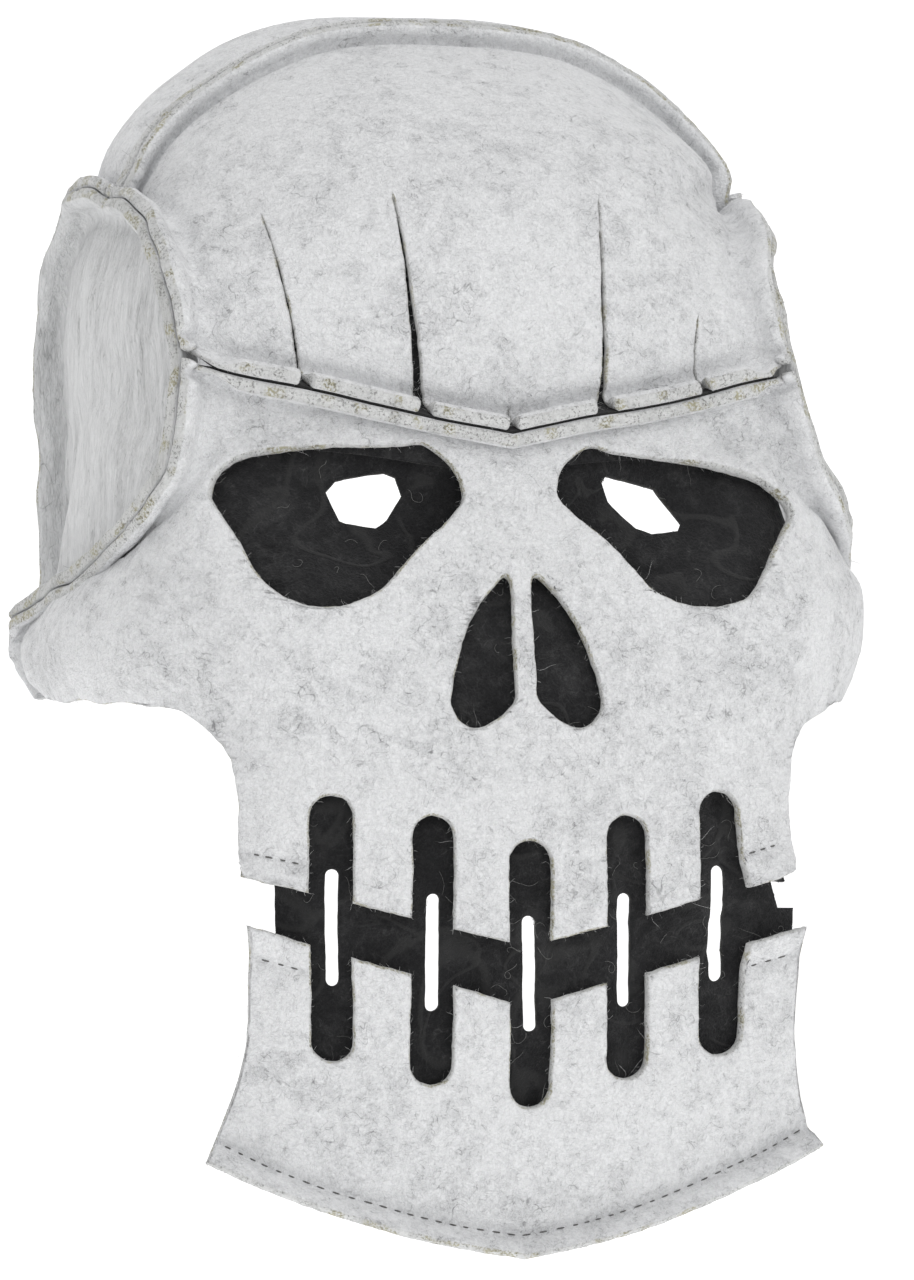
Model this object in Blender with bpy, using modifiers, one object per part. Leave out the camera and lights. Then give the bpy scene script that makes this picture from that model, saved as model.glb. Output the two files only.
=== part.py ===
"""Skull mask of thick wool felt: formed panels sewn with their seam allowances turned outward,
and a thin black lining that shows through the eyes, the nose, the teeth and the brow slits.

Each panel is cut flat (a grid slab with its holes cut out), then bent over the head form.
Metres; +Z up, the face looks toward -Y, the middle of the mask lies on x = 0.
"""
import functools
import math
import bpy
import bmesh
import numpy as np

# overall sizes
HALF_WIDTH = 0.090        # half the width across the cheek wings
DEPTH = 0.205             # nose plane to the back of the head
HEIGHT = 0.290            # crown to the point of the chin
ORIGIN_DEPTH = 0.095      # the origin, where the mask sits on the head, is this far behind the nose plane
ORIGIN_DROP = 0.0018      # and this far below the top line, on the inner face of the crown

# felt and seams
FELT = 0.003              # wall of the light felt
LINING = 0.0015           # wall of the black lining
GAP = 0.0004              # air between two layers of a seam
CREASE = 0.8              # share of the wall left where the felt is creased
LINING_AIR = 0.0009       # air between the lining and the felt
WELT = 0.009              # seam allowance turned outward round the temples
BROW_WELT = 0.0085        # allowance that stands forward over the eyes
CROWN_WELT = 0.007        # allowance of the seam over the head
HEM = 0.006               # band below the chin stitching
BEND = 0.006              # run of a fold on each side of its corner
RING_LEAN = math.radians(30)   # how far the temple welt leans away from straight sideways
HEM_LEAN = math.radians(32)    # how far the chin hem turns forward
CHIN_BOW = 0.56           # how much the chin edge hangs in a bow between its corners

# cut-outs, girth from the middle and height below the crown
SLOT_WIDTH = 0.0096
SLOT_PITCH = 0.0224
SLOT_LENGTH = 0.0594
SLIT_WIDTH = 0.0030
SLIT_LENGTH = 0.0262
SLIT_SHIFT = 0.0012       # the slits sit this far to the wearer's left of the slots
DART_WIDTH = 0.0014
NOTCH_WIDTH = 0.0022
EYE_SAG = 0.004           # the lining hangs this far behind the felt at the eyes
MOUTH_SAG = 0.0006

# the face from the brow seam down to the chin stitching, one row per level
# mid, side: height below the crown; front, bow: depth in the middle and its change towards the cheek;
# turn_x, turn_d: where the cheek turns back; edge_x, edge_d: the outer edge
FACE = (
    (0.352, 0.303, 0.063, 0.017, 0.667, 0.093, 0.756, 0.097),
    (0.376, 0.345, 0.061, 0.021, 0.667, 0.105, 0.767, 0.100),
    (0.407, 0.378, 0.054, 0.015, 0.700, 0.088, 0.783, 0.102),
    (0.434, 0.407, 0.044, 0.003, 0.744, 0.076, 0.833, 0.122),
    (0.462, 0.434, 0.032, -0.003, 0.811, 0.083, 0.889, 0.185),
    (0.490, 0.464, 0.020, -0.005, 0.867, 0.098, 0.944, 0.302),
    (0.517, 0.493, 0.010, -0.002, 0.911, 0.117, 0.989, 0.478),
    (0.562, 0.562, -0.007, 0.006, 0.867, 0.112, 1.000, 0.439),
    (0.614, 0.614, -0.017, 0.012, 0.733, 0.039, 0.889, 0.156),
    (0.672, 0.672, -0.024, 0.015, 0.689, 0.020, 0.778, 0.063),
    (0.779, 0.724, -0.028, 0.016, 0.644, 0.004, 0.707, 0.012),
    (0.838, 0.779, -0.024, 0.015, 0.633, 0.003, 0.697, 0.012),
    (0.903, 0.838, -0.017, 0.012, 0.633, 0.004, 0.702, 0.015),
    (0.979, 0.902, -0.010, 0.010, 0.667, 0.012, 0.772, 0.028),
)
TAIL_ROW = 6              # the temple seam ends here
FACE_STEPS = (0, 1, 1.5, 2, 2.5, 3, 3.5, 4, 4.5, 5, 5.5, 6, 6.5, 7, 7.5, 8, 9, 10, 10.3)
JAW_STEPS = (9.6, 10, 10.3, 11, 12, 12.5, 13)
LINING_STEPS = (1, 1.5, 2, 2.5, 3, 3.5, 4, 4.5, 5, 5.5, 6, 6.5, 7, 7.5, 8, 9, 9.6, 10, 10.3, 11, 12, 12.5)

# the forehead from the brow seam up to the crown seam
# mid_d, mid_z: middle line; edge_x, edge_d, edge_z: temple seam; round_d, round_z: how late it falls away
FOREHEAD = (
    (0.063, 0.352, 0.756, 0.097, 0.303, 1.7, 1.0),
    (0.060, 0.293, 0.767, 0.117, 0.259, 2.0, 1.2),
    (0.078, 0.224, 0.789, 0.161, 0.217, 2.0, 2.0),
    (0.122, 0.159, 0.811, 0.224, 0.190, 2.1, 3.0),
    (0.200, 0.103, 0.822, 0.283, 0.178, 2.2, 2.9),
    (0.288, 0.062, 0.828, 0.322, 0.174, 2.4, 2.6),
    (0.380, 0.028, 0.833, 0.356, 0.171, 2.0, 2.7),
)
FOREHEAD_STEPS = (0, 1, 2, 3, 4, 5, 6)

# the crown and the back of the head, from the crown seam to the arched free edge behind
CROWN = (
    (0.380, 0.028, 0.833, 0.356, 0.171, 2.0, 2.7),
    (0.488, 0.003, 0.861, 0.439, 0.161, 2.0, 3.3),
    (0.600, 0.006, 0.872, 0.522, 0.169, 2.4, 3.4),
    (0.710, 0.030, 0.889, 0.571, 0.204, 2.8, 3.4),
    (0.810, 0.074, 0.894, 0.600, 0.259, 3.0, 3.6),
    (0.890, 0.132, 0.900, 0.607, 0.328, 3.2, 4.2),
    (0.945, 0.202, 0.906, 0.598, 0.397, 3.3, 5.2),
    (0.978, 0.285, 0.911, 0.576, 0.476, 3.3, 6.5),
)
CROWN_STEPS = (0, 0.5, 1, 1.5, 2, 2.5, 3, 4, 5, 6, 7)

# the mask is soft: how far its left and its right side lean in, by height below the crown
LEAN = (
    (0.010, 0.0000, 0.0000),
    (0.060, 0.0000, -0.0022),
    (0.110, 0.0008, -0.0022),
    (0.145, 0.0040, 0.0000),
    (0.213, 0.0104, 0.0000),
    (0.285, 0.0076, 0.0000),
    (0.340, 0.0032, 0.0008),
    (0.420, -0.0016, 0.0018),
    (0.480, -0.0030, 0.0010),
    (0.530, -0.0032, -0.0032),
    (0.600, 0.0000, 0.0000),
    (0.760, -0.0016, 0.0000),
    (0.900, 0.0008, 0.0000),
)
LEAN_START = (0.30, 0.70)  # the lean begins here on the skull and here on the face, as a share of HALF_WIDTH
LEAN_WHOLE = (0.80, 0.95)  # and is whole here
LEAN_BROW = (0.30, 0.38)   # heights between which one passes into the other

# temple panels
SIDE_BULGE = 0.003        # the panel swells this far outward in its middle
SIDE_RINGS = (0.3, 0.62)  # rings between its middle and its fold
RING_MID_D = 0.46         # the welt leans away from this point of the head
RING_MID_Z = 0.40
RING_REACH = 0.225        # distance from it, as a share of the height, where the full lean is reached
FREE_STEPS = 3            # stations along its free lower edge

# stations
LONGEST_CUT = 0.009       # longest straight piece of a cut edge
HALF_COLUMNS = 9          # body columns from the middle to the fold
FOLD_STEPS = 3
HEAD_AXIS_D = 0.49        # the crown welt points away from this point
HEAD_AXIS_Z = 0.24
BROW_DROOP = 0.15         # forward welt: drop per unit forward

# outlines, share of HALF_WIDTH from the middle and share of HEIGHT below the crown
# the right eye, then the left one, whose outer half droops a little more
RIGHT_EYE = (
    (0.122, 0.410), (0.120, 0.402), (0.137, 0.386), (0.172, 0.374), (0.217, 0.365),
    (0.267, 0.367), (0.520, 0.370), (0.656, 0.377), (0.700, 0.384), (0.739, 0.395),
    (0.759, 0.409), (0.739, 0.422), (0.698, 0.445), (0.669, 0.464), (0.624, 0.480),
    (0.556, 0.489), (0.489, 0.492), (0.427, 0.489), (0.353, 0.479), (0.317, 0.469),
    (0.246, 0.447), (0.162, 0.425),
)
LEFT_EYE = (
    (0.122, 0.408), (0.122, 0.400), (0.138, 0.386), (0.172, 0.375), (0.217, 0.368),
    (0.267, 0.371), (0.500, 0.380), (0.656, 0.391), (0.705, 0.400), (0.740, 0.410),
    (0.752, 0.418), (0.722, 0.431), (0.672, 0.452), (0.640, 0.471), (0.605, 0.484),
    (0.550, 0.491), (0.489, 0.493), (0.427, 0.489), (0.360, 0.479), (0.317, 0.465),
    (0.246, 0.443), (0.162, 0.423),
)
NOSE = (
    (0.027, 0.474), (0.038, 0.469), (0.069, 0.477), (0.133, 0.502), (0.164, 0.525),
    (0.189, 0.556), (0.191, 0.571), (0.150, 0.585), (0.109, 0.584), (0.067, 0.577),
    (0.029, 0.564),
)
# the holes in the lining are cut by eye and differ
RIGHT_EYE_HOLE = (
    (0.458, 0.396), (0.433, 0.387), (0.307, 0.383), (0.278, 0.386), (0.263, 0.401),
    (0.302, 0.418), (0.333, 0.424), (0.411, 0.419), (0.425, 0.417),
)
LEFT_EYE_HOLE = (
    (0.264, 0.391), (0.275, 0.386), (0.406, 0.395), (0.439, 0.408), (0.464, 0.417),
    (0.452, 0.424), (0.382, 0.428), (0.344, 0.424), (0.277, 0.406),
)
# under the cheek wing and down the side of the mouth
UNDER_WING = (
    (1.900, 0.567), (1.100, 0.563), (0.930, 0.566), (0.860, 0.574), (0.800, 0.586),
    (0.758, 0.599), (0.732, 0.612), (0.717, 0.641), (0.712, 0.690), (0.712, 0.800),
    (1.900, 0.800),
)
# outer edge of the lining, from the brow down; it is notched at the ends of the mouth
LINING_EDGE = (
    (0.700, 0.300), (0.760, 0.380), (0.790, 0.420), (0.800, 0.470), (0.780, 0.560),
    (0.720, 0.610), (0.700, 0.650),
)
RIGHT_LINING_NOTCH = ((0.700, 0.700), (0.640, 0.704), (0.640, 0.744), (0.700, 0.748))
LEFT_LINING_NOTCH = ((0.712, 0.704), (0.690, 0.707), (0.690, 0.733), (0.712, 0.736))
LINING_CHIN = ((0.700, 0.860), (0.300, 0.925), (0.000, 0.945))
# the mouth opening: height at the middle and at the side of the mouth
MOUTH_REACH = 0.711
MOUTH_UPPER = (0.754, 0.699)
MOUTH_LOWER = (0.801, 0.742)
SLOT_TOP = (0.672, 0.653, 0.636)     # tops of the slots, from the middle one outward
SLIT_TOP = (0.730, 0.713, 0.694)     # tops of the slits in the lining behind them
# brow slits: girth and height of the top; then the girth of the notches between the flaps
DARTS = ((0.267, 0.172), (0.600, 0.188))
NOTCHES = (0.0, 0.247, 0.537)

MATERIALS = {
    "light_felt": ((0.66, 0.66, 0.65, 1.0), 0.95),
    "black_felt": ((0.010, 0.010, 0.011, 1.0), 0.9),
}


def clear_scene():
    for old in list(bpy.data.objects):
        bpy.data.objects.remove(old, do_unlink=True)


def new_collection(name):
    group = bpy.data.collections.new(name)
    bpy.context.scene.collection.children.link(group)
    return group


def new_material(name):
    colour, roughness = MATERIALS[name]
    material = bpy.data.materials.new(name)
    material.use_nodes = True
    shader = material.node_tree.nodes["Principled BSDF"]
    shader.inputs["Base Color"].default_value = colour
    shader.inputs["Roughness"].default_value = roughness
    shader.inputs["Metallic"].default_value = 0.0
    material.diffuse_color = colour
    return material


def spline(knots, values, at):
    """Natural cubic through values at the knots."""
    knots = np.asarray(knots, float)
    values = np.asarray(values, float)
    at = np.atleast_1d(np.asarray(at, float))
    count = len(knots)
    step = np.diff(knots)
    matrix = np.eye(count)
    right = np.zeros((count,) + values.shape[1:])
    for k in range(1, count - 1):
        matrix[k, k - 1] = step[k - 1]
        matrix[k, k] = 2 * (step[k - 1] + step[k])
        matrix[k, k + 1] = step[k]
        right[k] = 6 * ((values[k + 1] - values[k]) / step[k] - (values[k] - values[k - 1]) / step[k - 1])
    bend = np.linalg.solve(matrix, right.reshape(count, -1)).reshape(right.shape)
    k = np.clip(np.searchsorted(knots, at, side="right") - 1, 0, count - 2)
    width = step[k]
    a = (knots[k + 1] - at) / width
    b = 1 - a
    shape = (-1,) + (1,) * (values.ndim - 1)
    a, b, width = a.reshape(shape), b.reshape(shape), width.reshape(shape)
    curve = ((a ** 3 - a) * bend[k] + (b ** 3 - b) * bend[k + 1]) * width ** 2 / 6
    return a * values[k] + b * values[k + 1] + curve


def table_row(table, step):
    return spline(range(len(table)), np.array(table), step)[0]


def point(x, depth, drop):
    return np.stack(np.broadcast_arrays(x, depth - ORIGIN_DEPTH, ORIGIN_DROP - drop), -1)


def run_of(line):
    return np.concatenate([[0], np.cumsum(np.linalg.norm(np.diff(line, axis=0), axis=1))])


def along(line, run, at):
    return np.stack([np.interp(at, run, line[:, k]) for k in range(3)], -1)


def face_line(step):
    """Half of one level of the face, from the middle to its outer edge."""
    mid, side, front, bow, turn_x, turn_d, edge_x, edge_d = table_row(FACE, step)
    x = np.array([0, 0.33, 0.66, 1.0]) * turn_x
    depth = front + bow * (x / 0.5) ** 2
    depth[3] = turn_d
    x, depth = np.append(x, edge_x), np.append(depth, edge_d)
    x, depth = np.append(-x[:0:-1], x) * HALF_WIDTH, np.append(depth[:0:-1], depth) * DEPTH
    run = np.concatenate([[0], np.cumsum(np.hypot(np.diff(x), np.diff(depth)))])
    fine = spline(run, np.stack([x, depth], -1), np.linspace(run[4], run[8], 120))
    fall = fine[:, 0] / fine[-1, 0]
    fall = fall - fall * (1 - fall) * CHIN_BOW * min(max(step - (len(FACE) - 3), 0) / 2, 1)
    return point(fine[:, 0], fine[:, 1], (mid + (side - mid) * fall) * HEIGHT)


def dome_line(table, step):
    """Half of one row over the forehead or the crown, from the middle to the temple seam."""
    mid_d, mid_z, edge_x, edge_d, edge_z, round_d, round_z = table_row(table, step)
    share = np.sin(np.linspace(0, math.pi / 2, 160))
    depth = mid_d + (edge_d - mid_d) * share ** round_d
    drop = mid_z + (edge_z - mid_z) * share ** round_z
    return point(edge_x * HALF_WIDTH * share, depth * DEPTH, drop * HEIGHT)


def unit(vector):
    return vector / np.maximum(np.linalg.norm(vector, axis=-1, keepdims=True), 1e-9)


def ring_way(corner):
    """Direction of the temple welt at a point of its seam."""
    away = corner - point(corner[..., 0], RING_MID_D * DEPTH, RING_MID_Z * HEIGHT)
    away[..., 0] = RING_REACH * HEIGHT / math.tan(RING_LEAN)
    return unit(away)


def temple_seam():
    """Corners of the temple seam from the tail of the cheek wing over the ear to its back corner."""
    tail = [face_line(step)[-1] for step in FACE_STEPS if step <= TAIL_ROW][:0:-1]
    front = [dome_line(FOREHEAD, step)[-1] for step in FOREHEAD_STEPS]
    back = [dome_line(CROWN, step)[-1] for step in CROWN_STEPS][1:]
    corners = np.array(tail + front + back)
    return corners, unit(np.gradient(corners, axis=0)), len(tail), len(tail) + len(front) - 1


def leg_of(length):
    """Run of a fold on each side of its corner."""
    return min(BEND, 0.7 * length)


def turned_out(start, corner, way, tangent, length):
    """A fold: from start round the corner, then on along way to the raw edge."""
    inward = corner - start
    across = np.cross(way, tangent)
    across = unit(across * np.sign(np.sum(across * inward, -1, keepdims=True)))
    corner = corner - across * GAP / 2
    end = corner + way * leg_of(length)
    t = np.linspace(0, 1, FOLD_STEPS + 1)[1:, None]
    if corner.ndim == 2:
        t = t[:, :, None]
    bend = (1 - t) ** 2 * start + 2 * t * (1 - t) * corner + t ** 2 * end
    return np.concatenate([bend, (corner + way * length)[None]])


def setback(end, inside, tangent):
    """Distance along a row that leaves the run of a fold, measured square to the seam."""
    heading = unit(end - inside)
    square = np.linalg.norm(np.cross(heading, tangent), axis=-1)
    return leg_of(WELT) / np.maximum(square, 0.3)


def half_row(line, tangent=None, folded=True):
    """Stations of half a row: the body, then either the outward fold or as much flat felt."""
    run = run_of(line)
    back = BEND if tangent is None else float(setback(line[-1], line[-8], tangent))
    body = along(line, run, np.linspace(0, run[-1] - back, HALF_COLUMNS + 1))
    if tangent is not None and folded:
        return np.concatenate([body, turned_out(body[-1], line[-1], ring_way(line[-1]), tangent, WELT)])
    flat = along(line, run, np.linspace(run[-1] - back, run[-1], FOLD_STEPS + 2)[1:])
    return np.concatenate([body, flat])


def fold_rows(rows, way, length):
    """Replace the first row by its fold: rows[0] is the seam, way the direction of the welt.

    The welt dies away at the temple seam, where the panels simply meet.
    """
    seam, beside = rows[0], rows[1]
    reach = np.linalg.norm(beside - seam, axis=1, keepdims=True)
    start = seam + (beside - seam) * np.minimum(leg_of(length) / reach, 0.75)
    tangent = unit(np.gradient(seam, axis=0))
    fold = turned_out(start, seam, way, tangent, length)
    inward = seam - start
    inward = inward - np.sum(inward * tangent, -1, keepdims=True) * tangent
    butt = seam - unit(inward) * 2 * GAP
    share = np.linspace(0, 1, len(fold) + 1)[1:, None, None]
    level = start + (butt - start) * share
    rise = np.clip((HALF_COLUMNS - np.arange(len(seam))) / 2, 0, 1)[None, :, None]
    fold = level + (fold - level) * rise
    return np.concatenate([fold[::-1], start[None], rows[1:]])


def mirrored(half):
    """Rows x half stations to rows x all stations."""
    other = half[:, :0:-1] * np.array([-1, 1, 1])
    return np.concatenate([other, half], axis=1)


def normals(grid):
    """Outward normals of a grid of rows x columns."""
    down = np.gradient(grid, axis=0)
    across = np.gradient(grid, axis=1)
    return unit(np.cross(down, across))


def slab(grid, side=1, low=False, high=False):
    """Inner and outer skin of a felt panel whose inner face is the grid, thinner in its creases."""
    wall = np.full(grid.shape[:2], FELT)
    middle = grid.shape[1] // 2
    away = np.abs(np.arange(grid.shape[1]) - middle)
    wall[:, (away > HALF_COLUMNS) & (away < HALF_COLUMNS + FOLD_STEPS)] *= CREASE
    if low:
        wall[2:FOLD_STEPS + 1] *= CREASE
    if high:
        wall[-FOLD_STEPS - 1:-2] *= CREASE
    return grid, grid + side * normals(grid) * wall[:, :, None]


def girths(grid, middle):
    """Level girth of every station from the middle column."""
    run = np.cumsum(np.linalg.norm(np.diff(grid[:, :, :2], axis=1), axis=2), axis=1)
    run = np.concatenate([np.zeros((len(grid), 1)), run], axis=1)
    return run - run[:, middle:middle + 1]


def locate(grid, girth, drop):
    """Column and row of a point of the pattern, by girth from the middle and height below the crown."""
    middle = grid.shape[1] // 2
    across = girths(grid, middle)
    drops = ORIGIN_DROP - grid[:, :, 2]
    rows = np.arange(grid.shape[0])
    columns = np.arange(grid.shape[1])
    found = []
    for g, z in zip(np.atleast_1d(girth), np.atleast_1d(drop)):
        column = float(middle)
        for _ in range(12):
            low = min(int(column), grid.shape[1] - 2)
            share = column - low
            line = drops[:, low] * (1 - share) + drops[:, low + 1] * share
            order = 1 if line[-1] > line[0] else -1
            row = float(np.interp(z, line[::order], rows[::order]))
            low = min(int(row), grid.shape[0] - 2)
            share = row - low
            column = float(np.interp(g, across[low] * (1 - share) + across[low + 1] * share, columns))
        found.append((column, row))
    return np.array(found)


def link(mesh, name, group, material=None):
    built = bpy.data.objects.new(name, mesh)
    group.objects.link(built)
    if material:
        mesh.materials.append(material)
    return built


def prism(name, outline, group):
    """A cutter: an outline in columns and rows, drawn right through the slab."""
    shape = bmesh.new()
    corners = [shape.verts.new((x, y, -1.0)) for x, y in outline]
    face = shape.faces.new(corners)
    raised = bmesh.ops.extrude_face_region(shape, geom=[face])["geom"]
    bmesh.ops.translate(shape, vec=(0, 0, 3.0), verts=[v for v in raised if isinstance(v, bmesh.types.BMVert)])
    bmesh.ops.recalc_face_normals(shape, faces=shape.faces)
    mesh = bpy.data.meshes.new(name)
    shape.to_mesh(mesh)
    shape.free()
    cutter = link(mesh, name, group)
    cutter.hide_render = True
    cutter.display_type = "WIRE"
    return cutter


def flat_grid(name, rows, columns):
    """A flat sheet with one square per station, as a slab one unit thick."""
    shape = bmesh.new()
    bmesh.ops.create_grid(shape, x_segments=columns - 1, y_segments=rows - 1, size=0.5)
    for vertex in shape.verts:
        vertex.co.x = (vertex.co.x + 0.5) * (columns - 1)
        vertex.co.y = (vertex.co.y + 0.5) * (rows - 1)
    return solid_sheet(shape, name)


def flat_disc(name, rings, stations):
    """A flat disc of rings and spokes, as a slab one unit thick."""
    shape = bmesh.new()
    spoke = [shape.verts.new((ring, 0, 0)) for ring in range(rings)]
    edges = [shape.edges.new(pair) for pair in zip(spoke, spoke[1:])]
    bmesh.ops.spin(shape, geom=spoke + edges, cent=(0, 0, 0), axis=(0, 0, 1), angle=2 * math.pi,
                   steps=stations, use_merge=True)
    bmesh.ops.remove_doubles(shape, verts=shape.verts, dist=0.0001)
    return solid_sheet(shape, name)


def solid_sheet(shape, name):
    bmesh.ops.recalc_face_normals(shape, faces=shape.faces)
    if sum(face.normal.z for face in shape.faces) < 0:
        bmesh.ops.reverse_faces(shape, faces=shape.faces)
    mesh = bpy.data.meshes.new(name)
    shape.to_mesh(mesh)
    shape.free()
    return mesh


@functools.lru_cache
def leaning(left):
    """The lean of one side, smooth between the rows of its table."""
    drops, lefts, rights = zip(*LEAN)
    fine = np.linspace(drops[0], drops[-1], 97)
    return fine, spline(drops, lefts if left else rights, fine)


def settled(spot):
    """Lean the sides of the soft mask in."""
    level = (ORIGIN_DROP - spot[2]) / HEIGHT
    start = float(np.interp(level, LEAN_BROW, LEAN_START))
    whole = float(np.interp(level, LEAN_BROW, LEAN_WHOLE))
    share = min(max((abs(spot[0]) / HALF_WIDTH - start) / (whole - start), 0), 1)
    lean = float(np.interp(level, *leaning(spot[0] > 0)))
    lean *= share * share * (3 - 2 * share)
    return (spot[0] - math.copysign(lean, spot[0]), spot[1], spot[2])


def bent_panel(name, flat, place, cuts, keep, group, cutters, material):
    """Thicken the flat sheet, cut it, then move every vertex to its place on the head."""
    blank = link(flat, name + "_flat", group)
    thick = blank.modifiers.new("thickness", "SOLIDIFY")
    thick.thickness = 1.0
    thick.offset = 1.0
    for k, (outline, operation) in enumerate([(c, "DIFFERENCE") for c in cuts] + [(c, "INTERSECT") for c in keep]):
        cut = blank.modifiers.new("cut_%d" % k, "BOOLEAN")
        cut.object = prism("%s_cutter_%d" % (name, k), outline, cutters)
        cut.operation = operation
        cut.solver = "EXACT"
    done = bpy.data.meshes.new_from_object(blank.evaluated_get(bpy.context.evaluated_depsgraph_get()))
    bpy.data.objects.remove(blank, do_unlink=True)
    shape = bmesh.new()
    shape.from_mesh(done)
    bmesh.ops.triangulate(shape, faces=[face for face in shape.faces if len(face.verts) > 4])
    for vertex in shape.verts:
        vertex.co = settled(place(*vertex.co))
    bmesh.ops.triangulate(shape, faces=shape.faces)
    bmesh.ops.recalc_face_normals(shape, faces=shape.faces)
    if shape.calc_volume(signed=True) < 0:
        bmesh.ops.reverse_faces(shape, faces=shape.faces)
    shape.to_mesh(done)
    shape.free()
    done.name = name
    done.materials.clear()
    return link(done, name, group, material)


def on_grid(inner, outer):
    """Place a point of the flat sheet between the two skins of its panel."""
    last_row, last_column = inner.shape[0] - 1, inner.shape[1] - 1

    def place(column, row, level):
        i = int(min(max(column, 0), last_column - 1e-9))
        j = int(min(max(row, 0), last_row - 1e-9))
        a, b = column - i, row - j
        skins = [
            (skin[j, i] * (1 - a) + skin[j, i + 1] * a) * (1 - b)
            + (skin[j + 1, i] * (1 - a) + skin[j + 1, i + 1] * a) * b
            for skin in (inner, outer)
        ]
        return skins[0] * (1 - level) + skins[1] * level

    return place


def on_disc(inner, outer):
    """Place a vertex of the flat disc: rings outward, stations round."""
    stations = inner.shape[1]

    def place(x, y, level):
        ring = int(round(math.hypot(x, y)))
        station = int(round(math.atan2(y, x) / (2 * math.pi) * stations)) % stations
        return inner[ring, station] * (1 - level) + outer[ring, station] * level

    return place


def lay(grid, outline):
    """An outline in metres, its long sides divided, laid on the grid as columns and rows."""
    corners = []
    for here, there in zip(outline, np.roll(outline, -1, axis=0)):
        parts = max(1, int(np.linalg.norm(there - here) / LONGEST_CUT))
        corners += [here + (there - here) * k / parts for k in range(parts)]
    corners = np.array(corners)
    return locate(grid, corners[:, 0], corners[:, 1])


def pattern(grid, outline, mirror=False):
    flip = -1 if mirror else 1
    return lay(grid, np.array(outline) * (flip * HALF_WIDTH, HEIGHT))


def capsule(middle, top, width, length, steps=5):
    """Outline of an upright slot with round ends: girth and height."""
    radius = width / 2
    turn = np.linspace(0, math.pi, steps)
    upper = np.stack([middle - radius * np.cos(turn), top + radius - radius * np.sin(turn)], -1)
    lower = np.stack([middle + radius * np.cos(turn), top + length - radius + radius * np.sin(turn)], -1)
    return np.concatenate([upper, lower])


def slots(grid, tops, width, length, shift=0.0):
    outlines = []
    for k, top in enumerate(tops):
        for flip in ((1,) if k == 0 else (-1, 1)):
            shape = capsule(flip * k * SLOT_PITCH + shift, top * HEIGHT, width, length)
            outlines.append(lay(grid, shape))
    return outlines


def mouth_cut(grid, line, above):
    """Everything on one side of the slanting mouth edge."""
    mid, side = line
    share = np.linspace(-1, 1, 17)
    drops = mid + (side - mid) * np.abs(share)
    shape = locate(grid, share * MOUTH_REACH * HALF_WIDTH, drops * HEIGHT)
    shape[0, 0] = -2
    shape[-1, 0] = grid.shape[1] + 1
    limit = grid.shape[0] + 1 if above else -2
    return np.concatenate([shape, [(grid.shape[1] + 1, limit), (-2, limit)]])


def face_rows(steps, seam, folded):
    """Half rows of the face; those above the tail of the wing end on the temple seam."""
    _, tangents, brow, _ = seam
    rows = []
    for step in steps:
        station = brow - FACE_STEPS.index(step) if step <= TAIL_ROW else None
        line = dome_line(FOREHEAD, 0) if step == 0 else face_line(step)
        rows.append(half_row(line, None if station is None else tangents[station], folded))
    return np.array(rows)


def build_face(seam, group, cutters, felt):
    half = face_rows(FACE_STEPS, seam, True)
    half = fold_rows(half, forward(half[0]), BROW_WELT)
    grid = mirrored(half)
    body = grid[FOLD_STEPS + 1:]
    shift = np.array([0, FOLD_STEPS + 1])
    inner, outer = slab(grid, 1, True)
    cuts = [pattern(body, shape, mirror) + shift for shape in (NOSE, UNDER_WING) for mirror in (False, True)]
    cuts += [pattern(body, LEFT_EYE) + shift, pattern(body, RIGHT_EYE, True) + shift]
    cuts += [cut + shift for cut in slots(body, SLOT_TOP, SLOT_WIDTH, SLOT_LENGTH)]
    cuts.append(mouth_cut(body, MOUTH_UPPER, True) + shift)
    flat = flat_grid("face_panel", grid.shape[0], grid.shape[1])
    bent_panel("face_panel", flat, on_grid(inner, outer), cuts, [], group, cutters, felt)


def build_jaw(group, cutters, felt):
    half = np.array([half_row(face_line(step)) for step in JAW_STEPS])[::-1]
    down = unit(half[0] - half[1])
    way = unit(down * math.cos(HEM_LEAN) + np.array([0, -1, 0]) * math.sin(HEM_LEAN))
    hem = half[0] + way * HEM
    grid = mirrored(np.concatenate([hem[None], half])[::-1])
    inner, outer = slab(grid)
    cuts = slots(grid, SLOT_TOP, SLOT_WIDTH, SLOT_LENGTH) + [mouth_cut(grid, MOUTH_LOWER, False)]
    flat = flat_grid("jaw_panel", grid.shape[0], grid.shape[1])
    bent_panel("jaw_panel", flat, on_grid(inner, outer), cuts, [], group, cutters, felt)


def build_dome(name, table, steps, tangents, low, high, cuts_for, group, cutters, felt):
    """The forehead or the crown: rows from one seam to the next."""
    half = np.array([half_row(dome_line(table, step), tangent) for step, tangent in zip(steps, tangents)])
    if low:
        half = fold_rows(half, low[0](half[0]), low[1])
    if high:
        half = fold_rows(half[::-1], high[0](half[-1]), high[1])[::-1]
    grid = mirrored(half)
    inner, outer = slab(grid, -1, bool(low), bool(high))
    flat = flat_grid(name, grid.shape[0], grid.shape[1])
    cuts = cuts_for(grid) if cuts_for else []
    bent_panel(name, flat, on_grid(inner, outer), cuts, [], group, cutters, felt)
    return grid


def forward(seam):
    return np.broadcast_to(unit(np.array([0, -1, -BROW_DROOP])), seam.shape)


def upward(seam):
    centre = point(0.0, HEAD_AXIS_D * DEPTH, HEAD_AXIS_Z * HEIGHT)
    return unit(seam - centre)


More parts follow.
